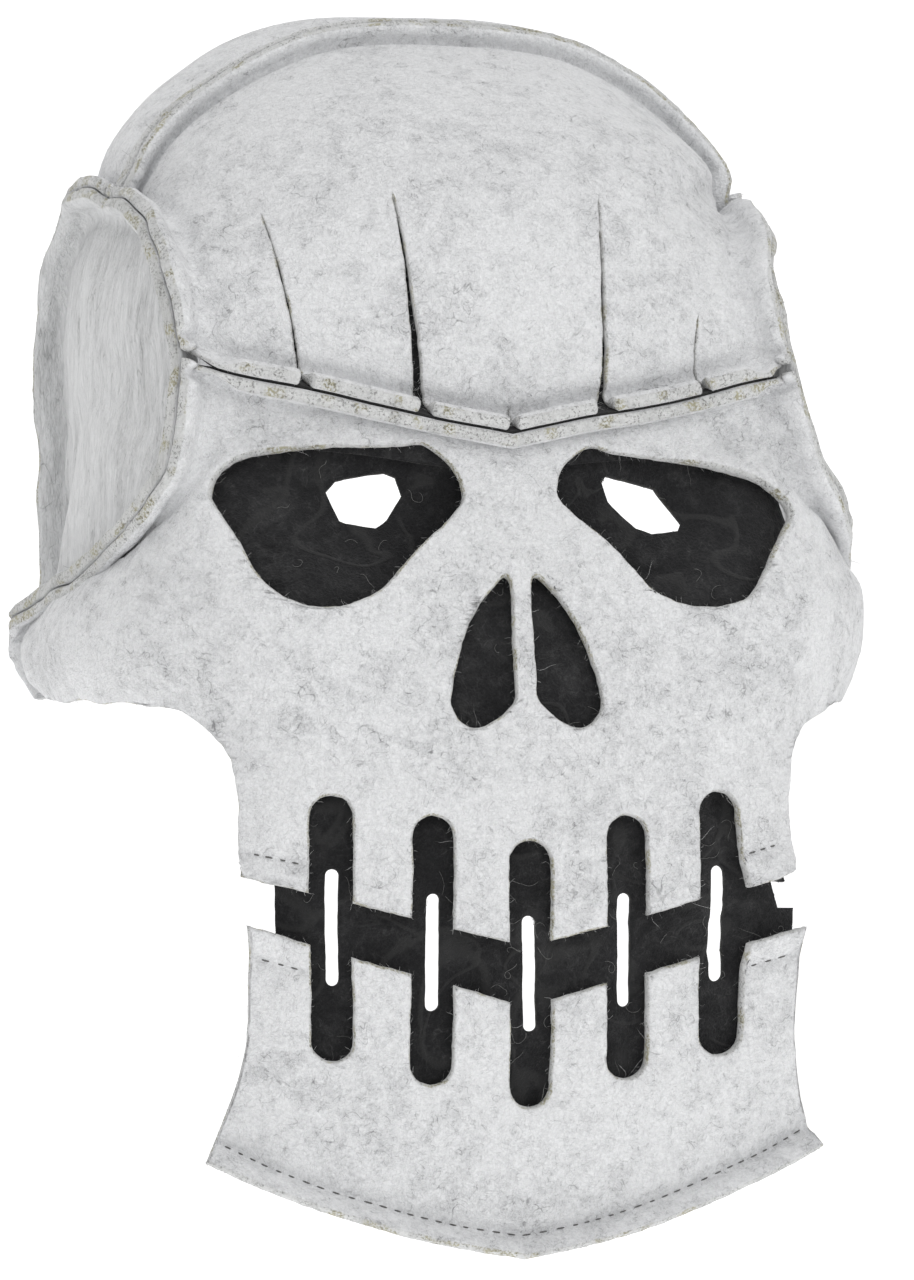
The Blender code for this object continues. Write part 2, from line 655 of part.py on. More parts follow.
def dart_cuts(grid):
    """Slits from the flaps up the forehead, and the notch between the middle flaps."""
    start = FOLD_STEPS + 1
    body = grid[start:-start]
    seam = start - 1
    cuts = []
    for k, at in enumerate(NOTCHES):
        for flip in ((1,) if at == 0 else (-1, 1)):
            low = locate(body, flip * at * HALF_WIDTH, ORIGIN_DROP - body[0, grid.shape[1] // 2, 2])[0][0]
            pitch = np.linalg.norm(body[0, grid.shape[1] // 2 + 1] - body[0, grid.shape[1] // 2])
            wide = (NOTCH_WIDTH if at == 0 else DART_WIDTH) / 2 / pitch
            if at == 0:
                cuts.append(np.array([(low - wide, -1), (low + wide, -1), (low, seam - 0.5)]))
                continue
            top_girth, top_drop = DARTS[k - 1]
            top = locate(body, flip * top_girth * HALF_WIDTH, top_drop * HEIGHT)[0] + (0, start)
            cuts.append(np.array([(low - wide * 1.5, -1), (low + wide * 1.5, -1), (low + wide, seam), top,
                                  (low - wide, seam)]))
    return cuts


def build_side(seam, group, felt):
    """Temple panel: a disc whose rim follows the seams of its neighbours, with its welt turned out."""
    corners, tangents, _, _ = seam
    share = np.linspace(0, 1, FREE_STEPS + 2)[1:-1, None]
    free = corners[-1] * (1 - share) + corners[0] * share
    corners = np.concatenate([corners, free])
    tangents = np.concatenate([tangents, np.repeat(unit(free[-1:] - free[:1]), FREE_STEPS, axis=0)])
    count = len(corners)
    middle = corners.mean(axis=0)
    way = ring_way(corners)
    way[-FREE_STEPS:] = unit(corners[-FREE_STEPS:] - middle)
    start = corners - unit(corners - middle) * setback(corners, middle, tangents)[:, None]
    swell = np.array([SIDE_BULGE, 0, 0])
    rings = [middle + (start - middle) * at + swell * (1 - at ** 2) for at in (0,) + SIDE_RINGS + (1,)]
    grid = np.concatenate([np.array(rings), turned_out(start, corners, way, tangents, WELT)])
    wrapped = np.concatenate([grid[:, -1:], grid, grid[:, :1]], axis=1)
    outward = normals(wrapped)[:, 1:-1]
    outward *= np.sign(outward[2, 0, 0])
    outward[:2] = np.array([1, 0, 0])
    wall = np.full(grid.shape[:2], FELT)
    wall[-FOLD_STEPS - 1:-2] *= CREASE
    outer = grid + outward * wall[:, :, None]
    for side, name in ((1, "side_panel_left"), (-1, "side_panel_right")):
        flip = np.array([side, 1, 1])
        flat = flat_disc(name, grid.shape[0], count)
        bent_panel(name, flat, on_disc(grid * flip, outer * flip), [], [], group, None, felt)


def build():
    clear_scene()
    group = new_collection("skull_mask")
    cutters = new_collection("cutters")
    felt = new_material("light_felt")
    black = new_material("black_felt")
    seam = temple_seam()
    _, tangents, brow, crown = seam
    build_face(seam, group, cutters, felt)
    build_jaw(group, cutters, felt)
    forehead = build_dome("forehead_panel", FOREHEAD, FOREHEAD_STEPS, tangents[brow:], (forward, BROW_WELT),
                          (upward, CROWN_WELT), dart_cuts, group, cutters, felt)
    build_dome("crown_panel", CROWN, CROWN_STEPS, tangents[crown:], (upward, CROWN_WELT), None, None,
               group, cutters, felt)
    build_side(seam, group, felt)
    build_face_lining(seam, group, cutters, black)
    build_forehead_lining(forehead, group, cutters, black)


def build_face_lining(seam, group, cutters, black):
    """The black lining behind the face, from the brow to just above the chin stitching."""
    grid = mirrored(face_rows(LINING_STEPS, seam, False))
    outward = normals(grid)
    girth = girths(grid, grid.shape[1] // 2) / HALF_WIDTH
    drop = (ORIGIN_DROP - grid[:, :, 2]) / HEIGHT
    eyes = np.exp(-((np.abs(girth) - 0.40) / 0.30) ** 2 - ((drop - 0.425) / 0.055) ** 2)
    offset = LINING + LINING_AIR + EYE_SAG * eyes + MOUTH_SAG * np.exp(-((drop - 0.74) / 0.08) ** 2)
    inner = grid - outward * offset[:, :, None]
    outer = inner + outward * LINING
    left = LINING_EDGE + LEFT_LINING_NOTCH + LINING_CHIN
    right = LINING_EDGE + RIGHT_LINING_NOTCH + LINING_CHIN[:-1]
    keep = [pattern(grid, left + tuple((-girth, drop) for girth, drop in right[::-1]))]
    keep[0][keep[0][:, 1] <= 0, 1] = -1
    cuts = [pattern(grid, RIGHT_EYE_HOLE, True), pattern(grid, LEFT_EYE_HOLE)]
    cuts += slots(grid, SLIT_TOP, SLIT_WIDTH, SLIT_LENGTH, SLIT_SHIFT)
    flat = flat_grid("face_lining", grid.shape[0], grid.shape[1])
    bent_panel("face_lining", flat, on_grid(inner, outer), cuts, keep, group, cutters, black)


def build_forehead_lining(forehead, group, cutters, black):
    """A strip of the lining behind the brow slits."""
    start = FOLD_STEPS + 1
    middle = forehead.shape[1] // 2
    strip = forehead[start:start + 5, middle - 7:middle + 8]
    outward = -normals(strip)
    inner = strip - outward * (LINING + LINING_AIR)
    flat = flat_grid("forehead_lining", strip.shape[0], strip.shape[1])
    bent_panel("forehead_lining", flat, on_grid(inner, inner + outward * LINING), [], [], group, cutters, black)


build()
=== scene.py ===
# Skull mask: thick wool felt panels sewn with their allowances turned outward, over a thin black lining.
# Each panel is laid out flat, cut, then bent over the head form. Metres, +Z up, the face looks toward -Y.
import math

import bpy
import numpy as np
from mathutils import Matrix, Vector, bvhtree, kdtree, noise
from mathutils.geometry import delaunay_2d_cdt


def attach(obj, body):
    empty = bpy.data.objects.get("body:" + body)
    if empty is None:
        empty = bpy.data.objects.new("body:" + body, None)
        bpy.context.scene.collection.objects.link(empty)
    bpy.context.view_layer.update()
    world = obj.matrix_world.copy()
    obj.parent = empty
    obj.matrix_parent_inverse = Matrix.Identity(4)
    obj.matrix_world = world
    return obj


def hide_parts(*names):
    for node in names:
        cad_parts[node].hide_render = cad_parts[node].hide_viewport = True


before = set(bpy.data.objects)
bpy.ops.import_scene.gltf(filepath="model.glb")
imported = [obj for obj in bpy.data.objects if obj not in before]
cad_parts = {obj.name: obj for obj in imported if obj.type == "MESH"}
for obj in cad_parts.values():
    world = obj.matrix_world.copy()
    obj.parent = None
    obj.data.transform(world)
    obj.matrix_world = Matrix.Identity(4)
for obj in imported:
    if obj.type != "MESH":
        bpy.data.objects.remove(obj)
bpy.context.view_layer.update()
print("packed frame loaded")

form = {
    "halfWidth": 0.090, "depth": 0.205, "height": 0.290,
    "originDepth": 0.095, "originDrop": 0.0018,
    "felt": 0.003, "lining": 0.0015, "gap": 0.0004, "liningAir": 0.0009,
    # the wall through a fold, pulled thin by the sewing
    "pull": (0.80, 0.55, 0.40, 0.36, 0.42, 0.62, 0.90, 1.08, 1.12, 1.0),
    "pitch": 0.0027,       # distance between stations
    "edgeStep": 0.0013,    # distance between points of a cut edge
    "linePoints": 160,     # points of a row before its stations are laid out
    "columns": 36,         # stations of half a row, from the middle to the fold
    "foldSteps": 8,
}
seams = {
    "temple": 0.009, "brow": 0.0085, "crown": 0.007, "hem": 0.006, "bend": 0.006,
    "ringLean": math.radians(30), "hemLean": math.radians(32),
    "ringMidDepth": 0.46, "ringMidDrop": 0.40, "ringReach": 0.225,
    "axisDepth": 0.49, "axisDrop": 0.24, "browDroop": 0.2, "browGap": 0.0007,
    "bendShare": 0.7,                   # the most of a short welt that its bend takes up
    "riseEnd": 7.2, "riseLength": 3,    # columns past the fold where a welt ends, and over which it dies away
    "fadeSteps": 0.6,                   # rows below the tail of the wing over which the fold dies away
    "tuck": 0.0026, "tuckRows": 9, "hemRows": 4,
}
softness = {
    "chinBow": 0.56,        # the chin edge hangs in a bow between its corners
    # how far the two sides lean in, by drop below the crown
    "leanLeft": ((0.010, 0.0), (0.060, 0.0), (0.110, 0.0), (0.130, 0.0012), (0.151, 0.0072), (0.187, 0.0082),
                 (0.213, 0.0096), (0.245, 0.0090), (0.285, 0.0066), (0.340, 0.0026), (0.420, -0.0016),
                 (0.480, -0.0030), (0.530, -0.0032), (0.600, 0.0), (0.670, -0.0006), (0.745, -0.0032),
                 (0.800, -0.0024), (0.860, -0.0010), (0.920, 0.0)),
    "leanRight": ((0.010, 0.0), (0.060, -0.0022), (0.110, -0.0022), (0.145, 0.0), (0.213, 0.0), (0.285, 0.0),
                  (0.340, 0.0008), (0.420, 0.0018), (0.480, 0.0010), (0.530, -0.0032), (0.600, 0.0),
                  (0.670, 0.0003), (0.760, 0.0009), (0.840, 0.0006), (0.920, 0.0)),
    # where across the mask the lean starts and is whole: on the skull, on the face and below the mouth
    "leanLevels": (0.30, 0.38, 0.58, 0.68),
    "leanStart": (0.30, 0.70, 0.70, 0.42), "leanWhole": (0.80, 0.95, 0.95, 0.68),
    # centre, reach and shift of a pulled spot: the tail of the wing, and the welt above the temple
    "tugs": (((-0.104, 0.004, -0.145), 0.016, (-0.0022, 0.0, -0.0004)),
             ((0.072, -0.014, -0.043), 0.011, (-0.0032, 0.0, -0.0012))),
    # wavelength, reach and seed of the unevenness of handwork, and how far out it starts
    "waves": ((0.030, 0.0007, 3.1, -1.0), (0.012, 0.00024, 8.7, -1.0), (0.0105, 0.0010, 5.3, 0.0665)),
    "waveEase": 0.008,
    "seed": 1795744253,     # noise_vector starts from the clock unless it is given a seed
}
noise.seed_set(softness["seed"])

# head form, from the brow seam down to the chin stitching
# drop in the middle and at the side; depth in the middle and its bow; where the cheek turns; outer edge
faceTable = (
    (0.352, 0.303, 0.063, 0.017, 0.667, 0.093, 0.756, 0.097),
    (0.376, 0.345, 0.061, 0.021, 0.667, 0.105, 0.767, 0.100),
    (0.407, 0.378, 0.054, 0.015, 0.700, 0.088, 0.783, 0.102),
    (0.434, 0.407, 0.044, 0.003, 0.744, 0.076, 0.833, 0.122),
    (0.462, 0.434, 0.032, -0.003, 0.811, 0.083, 0.889, 0.185),
    (0.490, 0.464, 0.020, -0.005, 0.867, 0.098, 0.944, 0.302),
    (0.517, 0.493, 0.010, -0.002, 0.911, 0.117, 0.989, 0.478),
    (0.562, 0.562, -0.007, 0.006, 0.867, 0.112, 1.000, 0.439),
    (0.614, 0.614, -0.017, 0.012, 0.733, 0.039, 0.889, 0.156),
    (0.672, 0.672, -0.024, 0.015, 0.689, 0.020, 0.778, 0.063),
    (0.779, 0.724, -0.028, 0.016, 0.644, 0.004, 0.707, 0.012),
    (0.838, 0.779, -0.024, 0.015, 0.633, 0.003, 0.697, 0.012),
    (0.903, 0.838, -0.017, 0.012, 0.633, 0.004, 0.702, 0.015),
    (0.979, 0.902, -0.010, 0.010, 0.667, 0.012, 0.772, 0.028),
)
tailRow = 6
# forehead and crown: middle depth and drop; temple seam; how late the row falls away
foreheadTable = (
    (0.063, 0.352, 0.756, 0.097, 0.303, 1.7, 1.0),
    (0.060, 0.293, 0.767, 0.117, 0.259, 2.0, 1.2),
    (0.078, 0.224, 0.789, 0.161, 0.217, 2.0, 2.0),
    (0.122, 0.159, 0.811, 0.224, 0.190, 2.1, 3.0),
    (0.200, 0.103, 0.822, 0.283, 0.178, 2.2, 2.9),
    (0.288, 0.062, 0.828, 0.322, 0.174, 2.4, 2.6),
    (0.380, 0.028, 0.833, 0.356, 0.171, 2.0, 2.7),
)
crownTable = (
    (0.380, 0.028, 0.833, 0.356, 0.171, 2.0, 2.7),
    (0.488, 0.003, 0.861, 0.439, 0.161, 2.0, 3.3),
    (0.600, 0.006, 0.872, 0.522, 0.169, 2.4, 3.4),
    (0.710, 0.030, 0.889, 0.571, 0.204, 2.8, 3.4),
    (0.810, 0.074, 0.894, 0.600, 0.259, 3.0, 3.6),
    (0.890, 0.132, 0.900, 0.607, 0.328, 3.2, 4.2),
    (0.945, 0.202, 0.906, 0.598, 0.397, 3.3, 5.2),
    (0.978, 0.285, 0.911, 0.576, 0.476, 3.3, 6.5),
)


def spline(knots, values, at):  # natural cubic through values at the knots
    knots, values = np.asarray(knots, float), np.asarray(values, float)
    at = np.atleast_1d(np.asarray(at, float))
    count = len(knots)
    step = np.diff(knots)
    matrix = np.eye(count)
    right = np.zeros((count,) + values.shape[1:])
    for k in range(1, count - 1):
        matrix[k, k - 1:k + 2] = step[k - 1], 2 * (step[k - 1] + step[k]), step[k]
        right[k] = 6 * ((values[k + 1] - values[k]) / step[k] - (values[k] - values[k - 1]) / step[k - 1])
    bend = np.linalg.solve(matrix, right.reshape(count, -1)).reshape(right.shape)
    k = np.clip(np.searchsorted(knots, at, side="right") - 1, 0, count - 2)
    width = step[k]
    a = (knots[k + 1] - at) / width
    b = 1 - a
    shape = (-1,) + (1,) * (values.ndim - 1)
    a, b, width = a.reshape(shape), b.reshape(shape), width.reshape(shape)
    curve = ((a ** 3 - a) * bend[k] + (b ** 3 - b) * bend[k + 1]) * width ** 2 / 6
    return a * values[k] + b * values[k + 1] + curve


def tableRow(table, step):
    return spline(range(len(table)), np.array(table), step)[0]


def spot(x, depth, drop):
    return np.stack(np.broadcast_arrays(x, depth - form["originDepth"], form["originDrop"] - drop), -1)


def unit(vector):
    return vector / np.maximum(np.linalg.norm(vector, axis=-1, keepdims=True), 1e-9)


def smooth(share):
    return share * share * (3 - 2 * share)


def summed(parts):  # running total down the rows, from nought
    return np.concatenate([np.zeros((1,) + parts.shape[1:]), np.cumsum(parts, axis=0)])


def runOf(line):
    return summed(np.linalg.norm(np.diff(line, axis=0), axis=-1))


def along(line, run, at):
    return np.stack([np.interp(at, run, line[:, k]) for k in range(3)], -1)


def domeLine(table, step):  # half of one row over the forehead or crown, from the middle to the temple seam
    midDepth, midDrop, edgeX, edgeDepth, edgeDrop, roundDepth, roundDrop = tableRow(table, step)
    share = np.sin(np.linspace(0, math.pi / 2, form["linePoints"]))
    depth = midDepth + (edgeDepth - midDepth) * share ** roundDepth
    drop = midDrop + (edgeDrop - midDrop) * share ** roundDrop
    return spot(edgeX * form["halfWidth"] * share, depth * form["depth"], drop * form["height"])


def levelLine(step):  # half of one level of the face, from the middle to its outer edge
    mid, side, front, bow, turnX, turnDepth, edgeX, edgeDepth = tableRow(faceTable, step)
    x = np.array([0, 0.33, 0.66, 1.0]) * turnX
    depth = front + bow * (x / 0.5) ** 2
    depth[3] = turnDepth
    x, depth = np.append(x, edgeX), np.append(depth, edgeDepth)
    x = np.append(-x[:0:-1], x) * form["halfWidth"]
    depth = np.append(depth[:0:-1], depth) * form["depth"]
    run = summed(np.hypot(np.diff(x), np.diff(depth)))
    fine = spline(run, np.stack([x, depth], -1), np.linspace(run[4], run[8], form["linePoints"]))
    fall = fine[:, 0] / fine[-1, 0]
    fall = fall - fall * (1 - fall) * softness["chinBow"] * min(max(step - (len(faceTable) - 3), 0) / 2, 1)
    return spot(fine[:, 0], fine[:, 1], (mid + (side - mid) * fall) * form["height"])


def evened(line):
    run = runOf(line)
    return along(line, run, np.linspace(0, run[-1], form["linePoints"]))


browMiss = evened(domeLine(foreheadTable, 0)) - evened(levelLine(0))


def faceLine(step):  # the first rows ease into the brow seam that the face shares with the forehead
    if step >= 1:
        return levelLine(step)
    return evened(levelLine(step)) + browMiss * (1 - step)


def evenSteps(lineAt, first, last):  # steps of a table that lie about one pitch apart
    fine = np.linspace(first, last, 121)
    ends = np.array([lineAt(step)[[0, form["linePoints"] // 2, -1]] for step in fine])
    run = summed(np.linalg.norm(np.diff(ends, axis=0), axis=2).max(axis=1))
    return np.interp(np.linspace(0, run[-1], max(2, round(run[-1] / form["pitch"]) + 1)), run, fine)


wingSteps = evenSteps(faceLine, 0, tailRow)
cheekSteps = evenSteps(faceLine, tailRow, 10.3)[1:]
foreheadSteps, crownSteps = (evenSteps(lambda step: domeLine(table, step), 0, len(table) - 1)
                             for table in (foreheadTable, crownTable))


def ringWay(corner):  # direction of the temple welt at a point of its seam
    away = corner - spot(corner[..., 0], seams["ringMidDepth"] * form["depth"], seams["ringMidDrop"] * form["height"])
    away[..., 0] = seams["ringReach"] * form["height"] / math.tan(seams["ringLean"])
    return unit(away)


def templeSeam():
    tail = [faceLine(step)[-1] for step in wingSteps][:0:-1]
    front = [domeLine(foreheadTable, step)[-1] for step in foreheadSteps]
    back = [domeLine(crownTable, step)[-1] for step in crownSteps][1:]
    corners = np.array(tail + front + back)
    return corners, unit(np.gradient(corners, axis=0)), len(tail), len(tail) + len(front) - 1


seamCorners, seamTangents, browStation, crownStation = templeSeam()
foldRows = form["foldSteps"] + 2


def legOf(length):
    return min(seams["bend"], seams["bendShare"] * length)


# a fold: round the corner, then on along way to the raw edge
def turnedOut(start, corner, way, tangent, length, gap=None):
    inward = corner - start
    across = np.cross(way, tangent)
    across = unit(across * np.sign(np.sum(across * inward, -1, keepdims=True)))
    corner = corner - across * (gap or form["gap"]) / 2
    end = corner + way * legOf(length)
    t = np.linspace(0, 1, form["foldSteps"] + 1)[1:].reshape((-1,) + (1,) * corner.ndim)
    bend = (1 - t) ** 2 * start + 2 * t * (1 - t) * corner + t ** 2 * end
    return np.concatenate([bend, (end + (corner + way * length - end) / 2)[None], (corner + way * length)[None]])


def setback(end, inside, tangent):
    heading = unit(end - inside)
    square = np.linalg.norm(np.cross(heading, tangent), axis=-1)
    return legOf(seams["temple"]) / np.maximum(square, 0.3)


# stations of half a row: the body, then its fold or as much flat felt
def halfRow(line, tangent=None, folded=1.0):
    run = runOf(line)
    back = seams["bend"] if tangent is None else float(setback(line[-1], line[-12], tangent))
    body = along(line, run, np.linspace(0, run[-1] - back, form["columns"] + 1))
    flat = along(line, run, np.linspace(run[-1] - back, run[-1], foldRows + 1)[1:])
    if tangent is not None and folded > 0:
        fold = turnedOut(body[-1], line[-1], ringWay(line[-1]), tangent, seams["temple"])
        flat = flat + (fold - flat) * folded
    return np.concatenate([body, flat])


# the first row becomes a welt, which dies away at the temple seam
def foldedRows(rows, way, length, gap=None):
    seam, leg, runs = rows[0], legOf(length), runOf(rows)
    first = int(np.argmax(runs.min(axis=1) > leg * 1.1))
    eased = [[along(rows[:, c], runs[:, c], leg + (runs[first, c] - leg) * share) for c in range(rows.shape[1])]
             for share in (0.0, 0.33, 0.66)]
    start, eased = np.array(eased[0]), np.array(eased[:0:-1])[::-1]
    tangent = unit(np.gradient(seam, axis=0))
    fold = turnedOut(start, seam, way, tangent, length, gap)
    inward = seam - start
    inward = inward - np.sum(inward * tangent, -1, keepdims=True) * tangent
    butt = seam - unit(inward) * 2 * form["gap"]
    share = np.linspace(0, 1, len(fold) + 1)[1:, None, None]
    level = start + (butt - start) * share
    left = form["columns"] + seams["riseEnd"] - np.arange(len(seam))
    rise = smooth(np.clip(left / seams["riseLength"], 0, 1))[None, :, None]
    return np.concatenate([(level + (fold - level) * rise)[::-1], start[None], eased, rows[first:]])


def mirrored(half):
    return np.concatenate([half[:, :0:-1] * np.array([-1, 1, 1]), half], axis=1)


def normalsOf(grid):
    return unit(np.cross(np.gradient(grid, axis=0), np.gradient(grid, axis=1)))


# inner and outer skin, thinner where the felt is folded
def feltSkins(grid, side=1, low=False, high=False, sides=True):
    wall = np.full(grid.shape[:2], form["felt"])
    pull = np.array(form["pull"])
    if sides:
        wall[:, -foldRows:] *= pull
        wall[:, :foldRows] *= pull[::-1]
    if low:
        wall[:foldRows] *= pull[::-1, None]
    if high:
        wall[-foldRows:] *= pull[:, None]
    return grid, grid + side * normalsOf(grid) * wall[:, :, None]


def girthsOf(grid):
    middle = grid.shape[1] // 2
    run = summed(np.linalg.norm(np.diff(grid[:, :, :2], axis=1), axis=2).T).T
    return run - run[:, middle:middle + 1]


def patternOf(grid):  # girth from the middle and drop below the crown, as shares of the half width and the height
    return girthsOf(grid) / form["halfWidth"], (form["originDrop"] - grid[:, :, 2]) / form["height"]


def locate(grid, outline):  # columns and rows of points given by girth and drop in metres
    outline = np.asarray(outline, float)
    across, drops = girthsOf(grid), form["originDrop"] - grid[:, :, 2]
    ask, rowAt = np.arange(len(outline)), np.arange(len(grid))
    if drops[0].mean() > drops[-1].mean():
        rowAt, drops, across = rowAt[::-1], drops[::-1], across[::-1]
    column = np.full(len(outline), float(grid.shape[1] // 2))
    for _ in range(14):
        low = np.clip(column.astype(int), 0, grid.shape[1] - 2)
        share = column - low
        line = drops[:, low] * (1 - share) + drops[:, low + 1] * share
        k = np.clip((line < outline[:, 1]).sum(axis=0) - 1, 0, len(grid) - 2)
        row = k + np.clip((outline[:, 1] - line[k, ask]) / (line[k + 1, ask] - line[k, ask]), 0, 1)
        low = np.clip(row.astype(int), 0, len(grid) - 2)
        share = (row - low)[:, None]
        girth = across[low] * (1 - share) + across[low + 1] * share
        column = np.array([np.interp(g, line, np.arange(grid.shape[1])) for g, line in zip(outline[:, 0], girth)])
    return np.stack([column, np.interp(row, np.arange(len(grid)), rowAt)], -1)


# pattern outlines: girth from the middle as a share of the half width, drop as a share of the height
eyeOutlines = (
    ((0.122, 0.410), (0.120, 0.402), (0.137, 0.386), (0.172, 0.374), (0.217, 0.365), (0.267, 0.367), (0.390, 0.368),
     (0.520, 0.370), (0.656, 0.377), (0.700, 0.384), (0.739, 0.395), (0.759, 0.409), (0.739, 0.422), (0.698, 0.445),
     (0.669, 0.464), (0.624, 0.480), (0.556, 0.489), (0.489, 0.492), (0.427, 0.489), (0.353, 0.479), (0.317, 0.469),
     (0.246, 0.447), (0.162, 0.425)),
    ((0.122, 0.408), (0.122, 0.400), (0.138, 0.386), (0.172, 0.375), (0.217, 0.368), (0.267, 0.371), (0.384, 0.375),
     (0.500, 0.380), (0.656, 0.391), (0.705, 0.400), (0.742, 0.409), (0.756, 0.415), (0.755, 0.421), (0.722, 0.434),
     (0.676, 0.454), (0.640, 0.471), (0.605, 0.484), (0.550, 0.491), (0.489, 0.493), (0.427, 0.489), (0.360, 0.479),
     (0.317, 0.465), (0.246, 0.443), (0.162, 0.423)),
)
noseOutline = (
    (0.027, 0.474), (0.038, 0.469), (0.069, 0.477), (0.133, 0.502), (0.164, 0.525), (0.189, 0.556), (0.191, 0.571),
    (0.150, 0.585), (0.109, 0.584), (0.067, 0.577), (0.034, 0.567), (0.028, 0.564), (0.027, 0.556), (0.027, 0.520),
)
sightOutlines = (
    ((0.458, 0.396), (0.433, 0.389), (0.307, 0.385), (0.278, 0.388), (0.263, 0.401), (0.302, 0.418), (0.333, 0.424),
     (0.411, 0.419), (0.425, 0.417)),
    ((0.264, 0.391), (0.275, 0.386), (0.409, 0.392), (0.442, 0.405), (0.466, 0.415), (0.454, 0.422), (0.384, 0.425),
     (0.345, 0.421), (0.278, 0.404)),
)
underWing = (
    (1.900, 0.567), (1.100, 0.563), (0.930, 0.566), (0.860, 0.574), (0.800, 0.586), (0.758, 0.599), (0.732, 0.612),
    (0.717, 0.641), (0.712, 0.690), (0.712, 0.800), (1.900, 0.800),
)
liningEdge = (
    (0.700, 0.300), (0.760, 0.380), (0.790, 0.420), (0.800, 0.470), (0.780, 0.560), (0.720, 0.610), (0.700, 0.650),
)
liningNotches = (((0.700, 0.700), (0.638, 0.704), (0.634, 0.744), (0.700, 0.748)),
                 ((0.724, 0.7065), (0.664, 0.7075), (0.668, 0.7280), (0.724, 0.7270)))
liningChin = ((0.700, 0.860), (0.300, 0.925), (0.000, 0.945))
teeth = {
    "pitch": 0.0224, "shift": 0.0006, "noseShift": 0.0008,
    # tops of the middle one and of the pairs, width, length, and each one's shift
    "slots": ((0.672, 0.653, 0.636), 0.0096, 0.0594),
    "slits": ((0.730, 0.713, 0.694), 0.0030, 0.0262, (0.0005, 0.0005, 0.0004, 0.0003, 0.0008)),
    # the lips of the mouth: middle, right corner, left corner
    "mouthReach": 0.711, "upper": (0.754, 0.699, 0.699), "lower": (0.800, 0.736, 0.742),
}
# brow cuts: girth at the brow, half gap at the raw edge and at the seam, girth and drop of the top
browCuts = (
    (-0.537, 0.0018, 0.00028, -0.600, 0.188), (-0.231, 0.0017, 0.0011, -0.267, 0.172),
    (0.0, 0.0016, 0.0001, 0.0, 0.352), (0.247, 0.0026, 0.0006, 0.267, 0.172),
    (0.537, 0.0016, 0.00012, 0.575, 0.262),
)


def inMetres(outline, mirror=False):
    return np.array(outline) * (form["halfWidth"] * (-1 if mirror else 1), form["height"])


def rounded(outline, mirror=False):  # a smooth closed curve through the pattern points
    points, out = inMetres(outline, mirror), []
    for k in range(len(points)):
        a, b, c, d = (points[(k + j) % len(points)] for j in (-1, 0, 1, 2))
        ab, bc, cd = (max(np.linalg.norm(q - p), 1e-6) ** 0.5 for p, q in ((a, b), (b, c), (c, d)))
        count = max(2, math.ceil(np.linalg.norm(c - b) / form["edgeStep"]) + 1)
        t = np.linspace(0, 1, count)[:-1, None] * bc + ab
        p1, p2 = (ab - t) / ab * a + t / ab * b, (ab + bc - t) / bc * b + (t - ab) / bc * c
        p3 = (ab + bc + cd - t) / cd * c + (t - ab - bc) / cd * d
        q1 = (ab + bc - t) / (ab + bc) * p1 + t / (ab + bc) * p2
        q2 = (ab + bc + cd - t) / (bc + cd) * p2 + (t - ab) / (bc + cd) * p3
        out.append((ab + bc - t) / bc * q1 + (t - ab) / bc * q2)
    return np.concatenate(out)


def divided(outline, step=form["edgeStep"]):  # a polygon with its sides divided
    outline, out = np.asarray(outline, float), []
    for here, there in zip(outline, np.roll(outline, -1, axis=0)):
        parts = max(1, math.ceil(np.linalg.norm(there - here) / step))
        out += [here + (there - here) * k / parts for k in range(parts)]
    return np.array(out)


def polygon(outline, mirror=False):
    return divided(inMetres(outline, mirror))


def capsule(middle, top, width, length):
    radius = width / 2
    turn = np.linspace(0, math.pi, 13)
    upper = np.stack([middle - radius * np.cos(turn), top + radius - radius * np.sin(turn)], -1)
    lower = np.stack([middle + radius * np.cos(turn), top + length - radius + radius * np.sin(turn)], -1)
    return divided(np.concatenate([upper, lower]))


def capsules(tops, width, length, shifts=(0,) * 5):  # the middle one, then pairs
    places = [(flip * k * teeth["pitch"], top) for k, top in enumerate(tops)
              for flip in ((1,) if k == 0 else (-1, 1))]
    return [capsule(girth + shift + teeth["shift"], top * form["height"], width, length)
            for (girth, top), shift in zip(places, shifts)]


def lipDrop(line, share):
    mid, right, left = line
    return mid + (np.where(share > 0, left, right) - mid) * np.abs(share)


def mouthLine(which, reach=None, shift=0.0):  # girth and drop along one lip of the mouth
    share = np.linspace(-1, 1, 101) if reach is None else np.linspace(*reach, 40) / teeth["mouthReach"]
    return inMetres(np.stack([share * teeth["mouthReach"], lipDrop(teeth[which], share) + shift], -1))


def mouthCut(grid, which):
    shape = locate(grid, mouthLine(which))
    shape[0, 0], shape[-1, 0] = -2, grid.shape[1] + 1
    limit = grid.shape[0] + 1 if which == "upper" else -2
    return np.concatenate([shape, [(grid.shape[1] + 1, limit), (-2, limit)]])


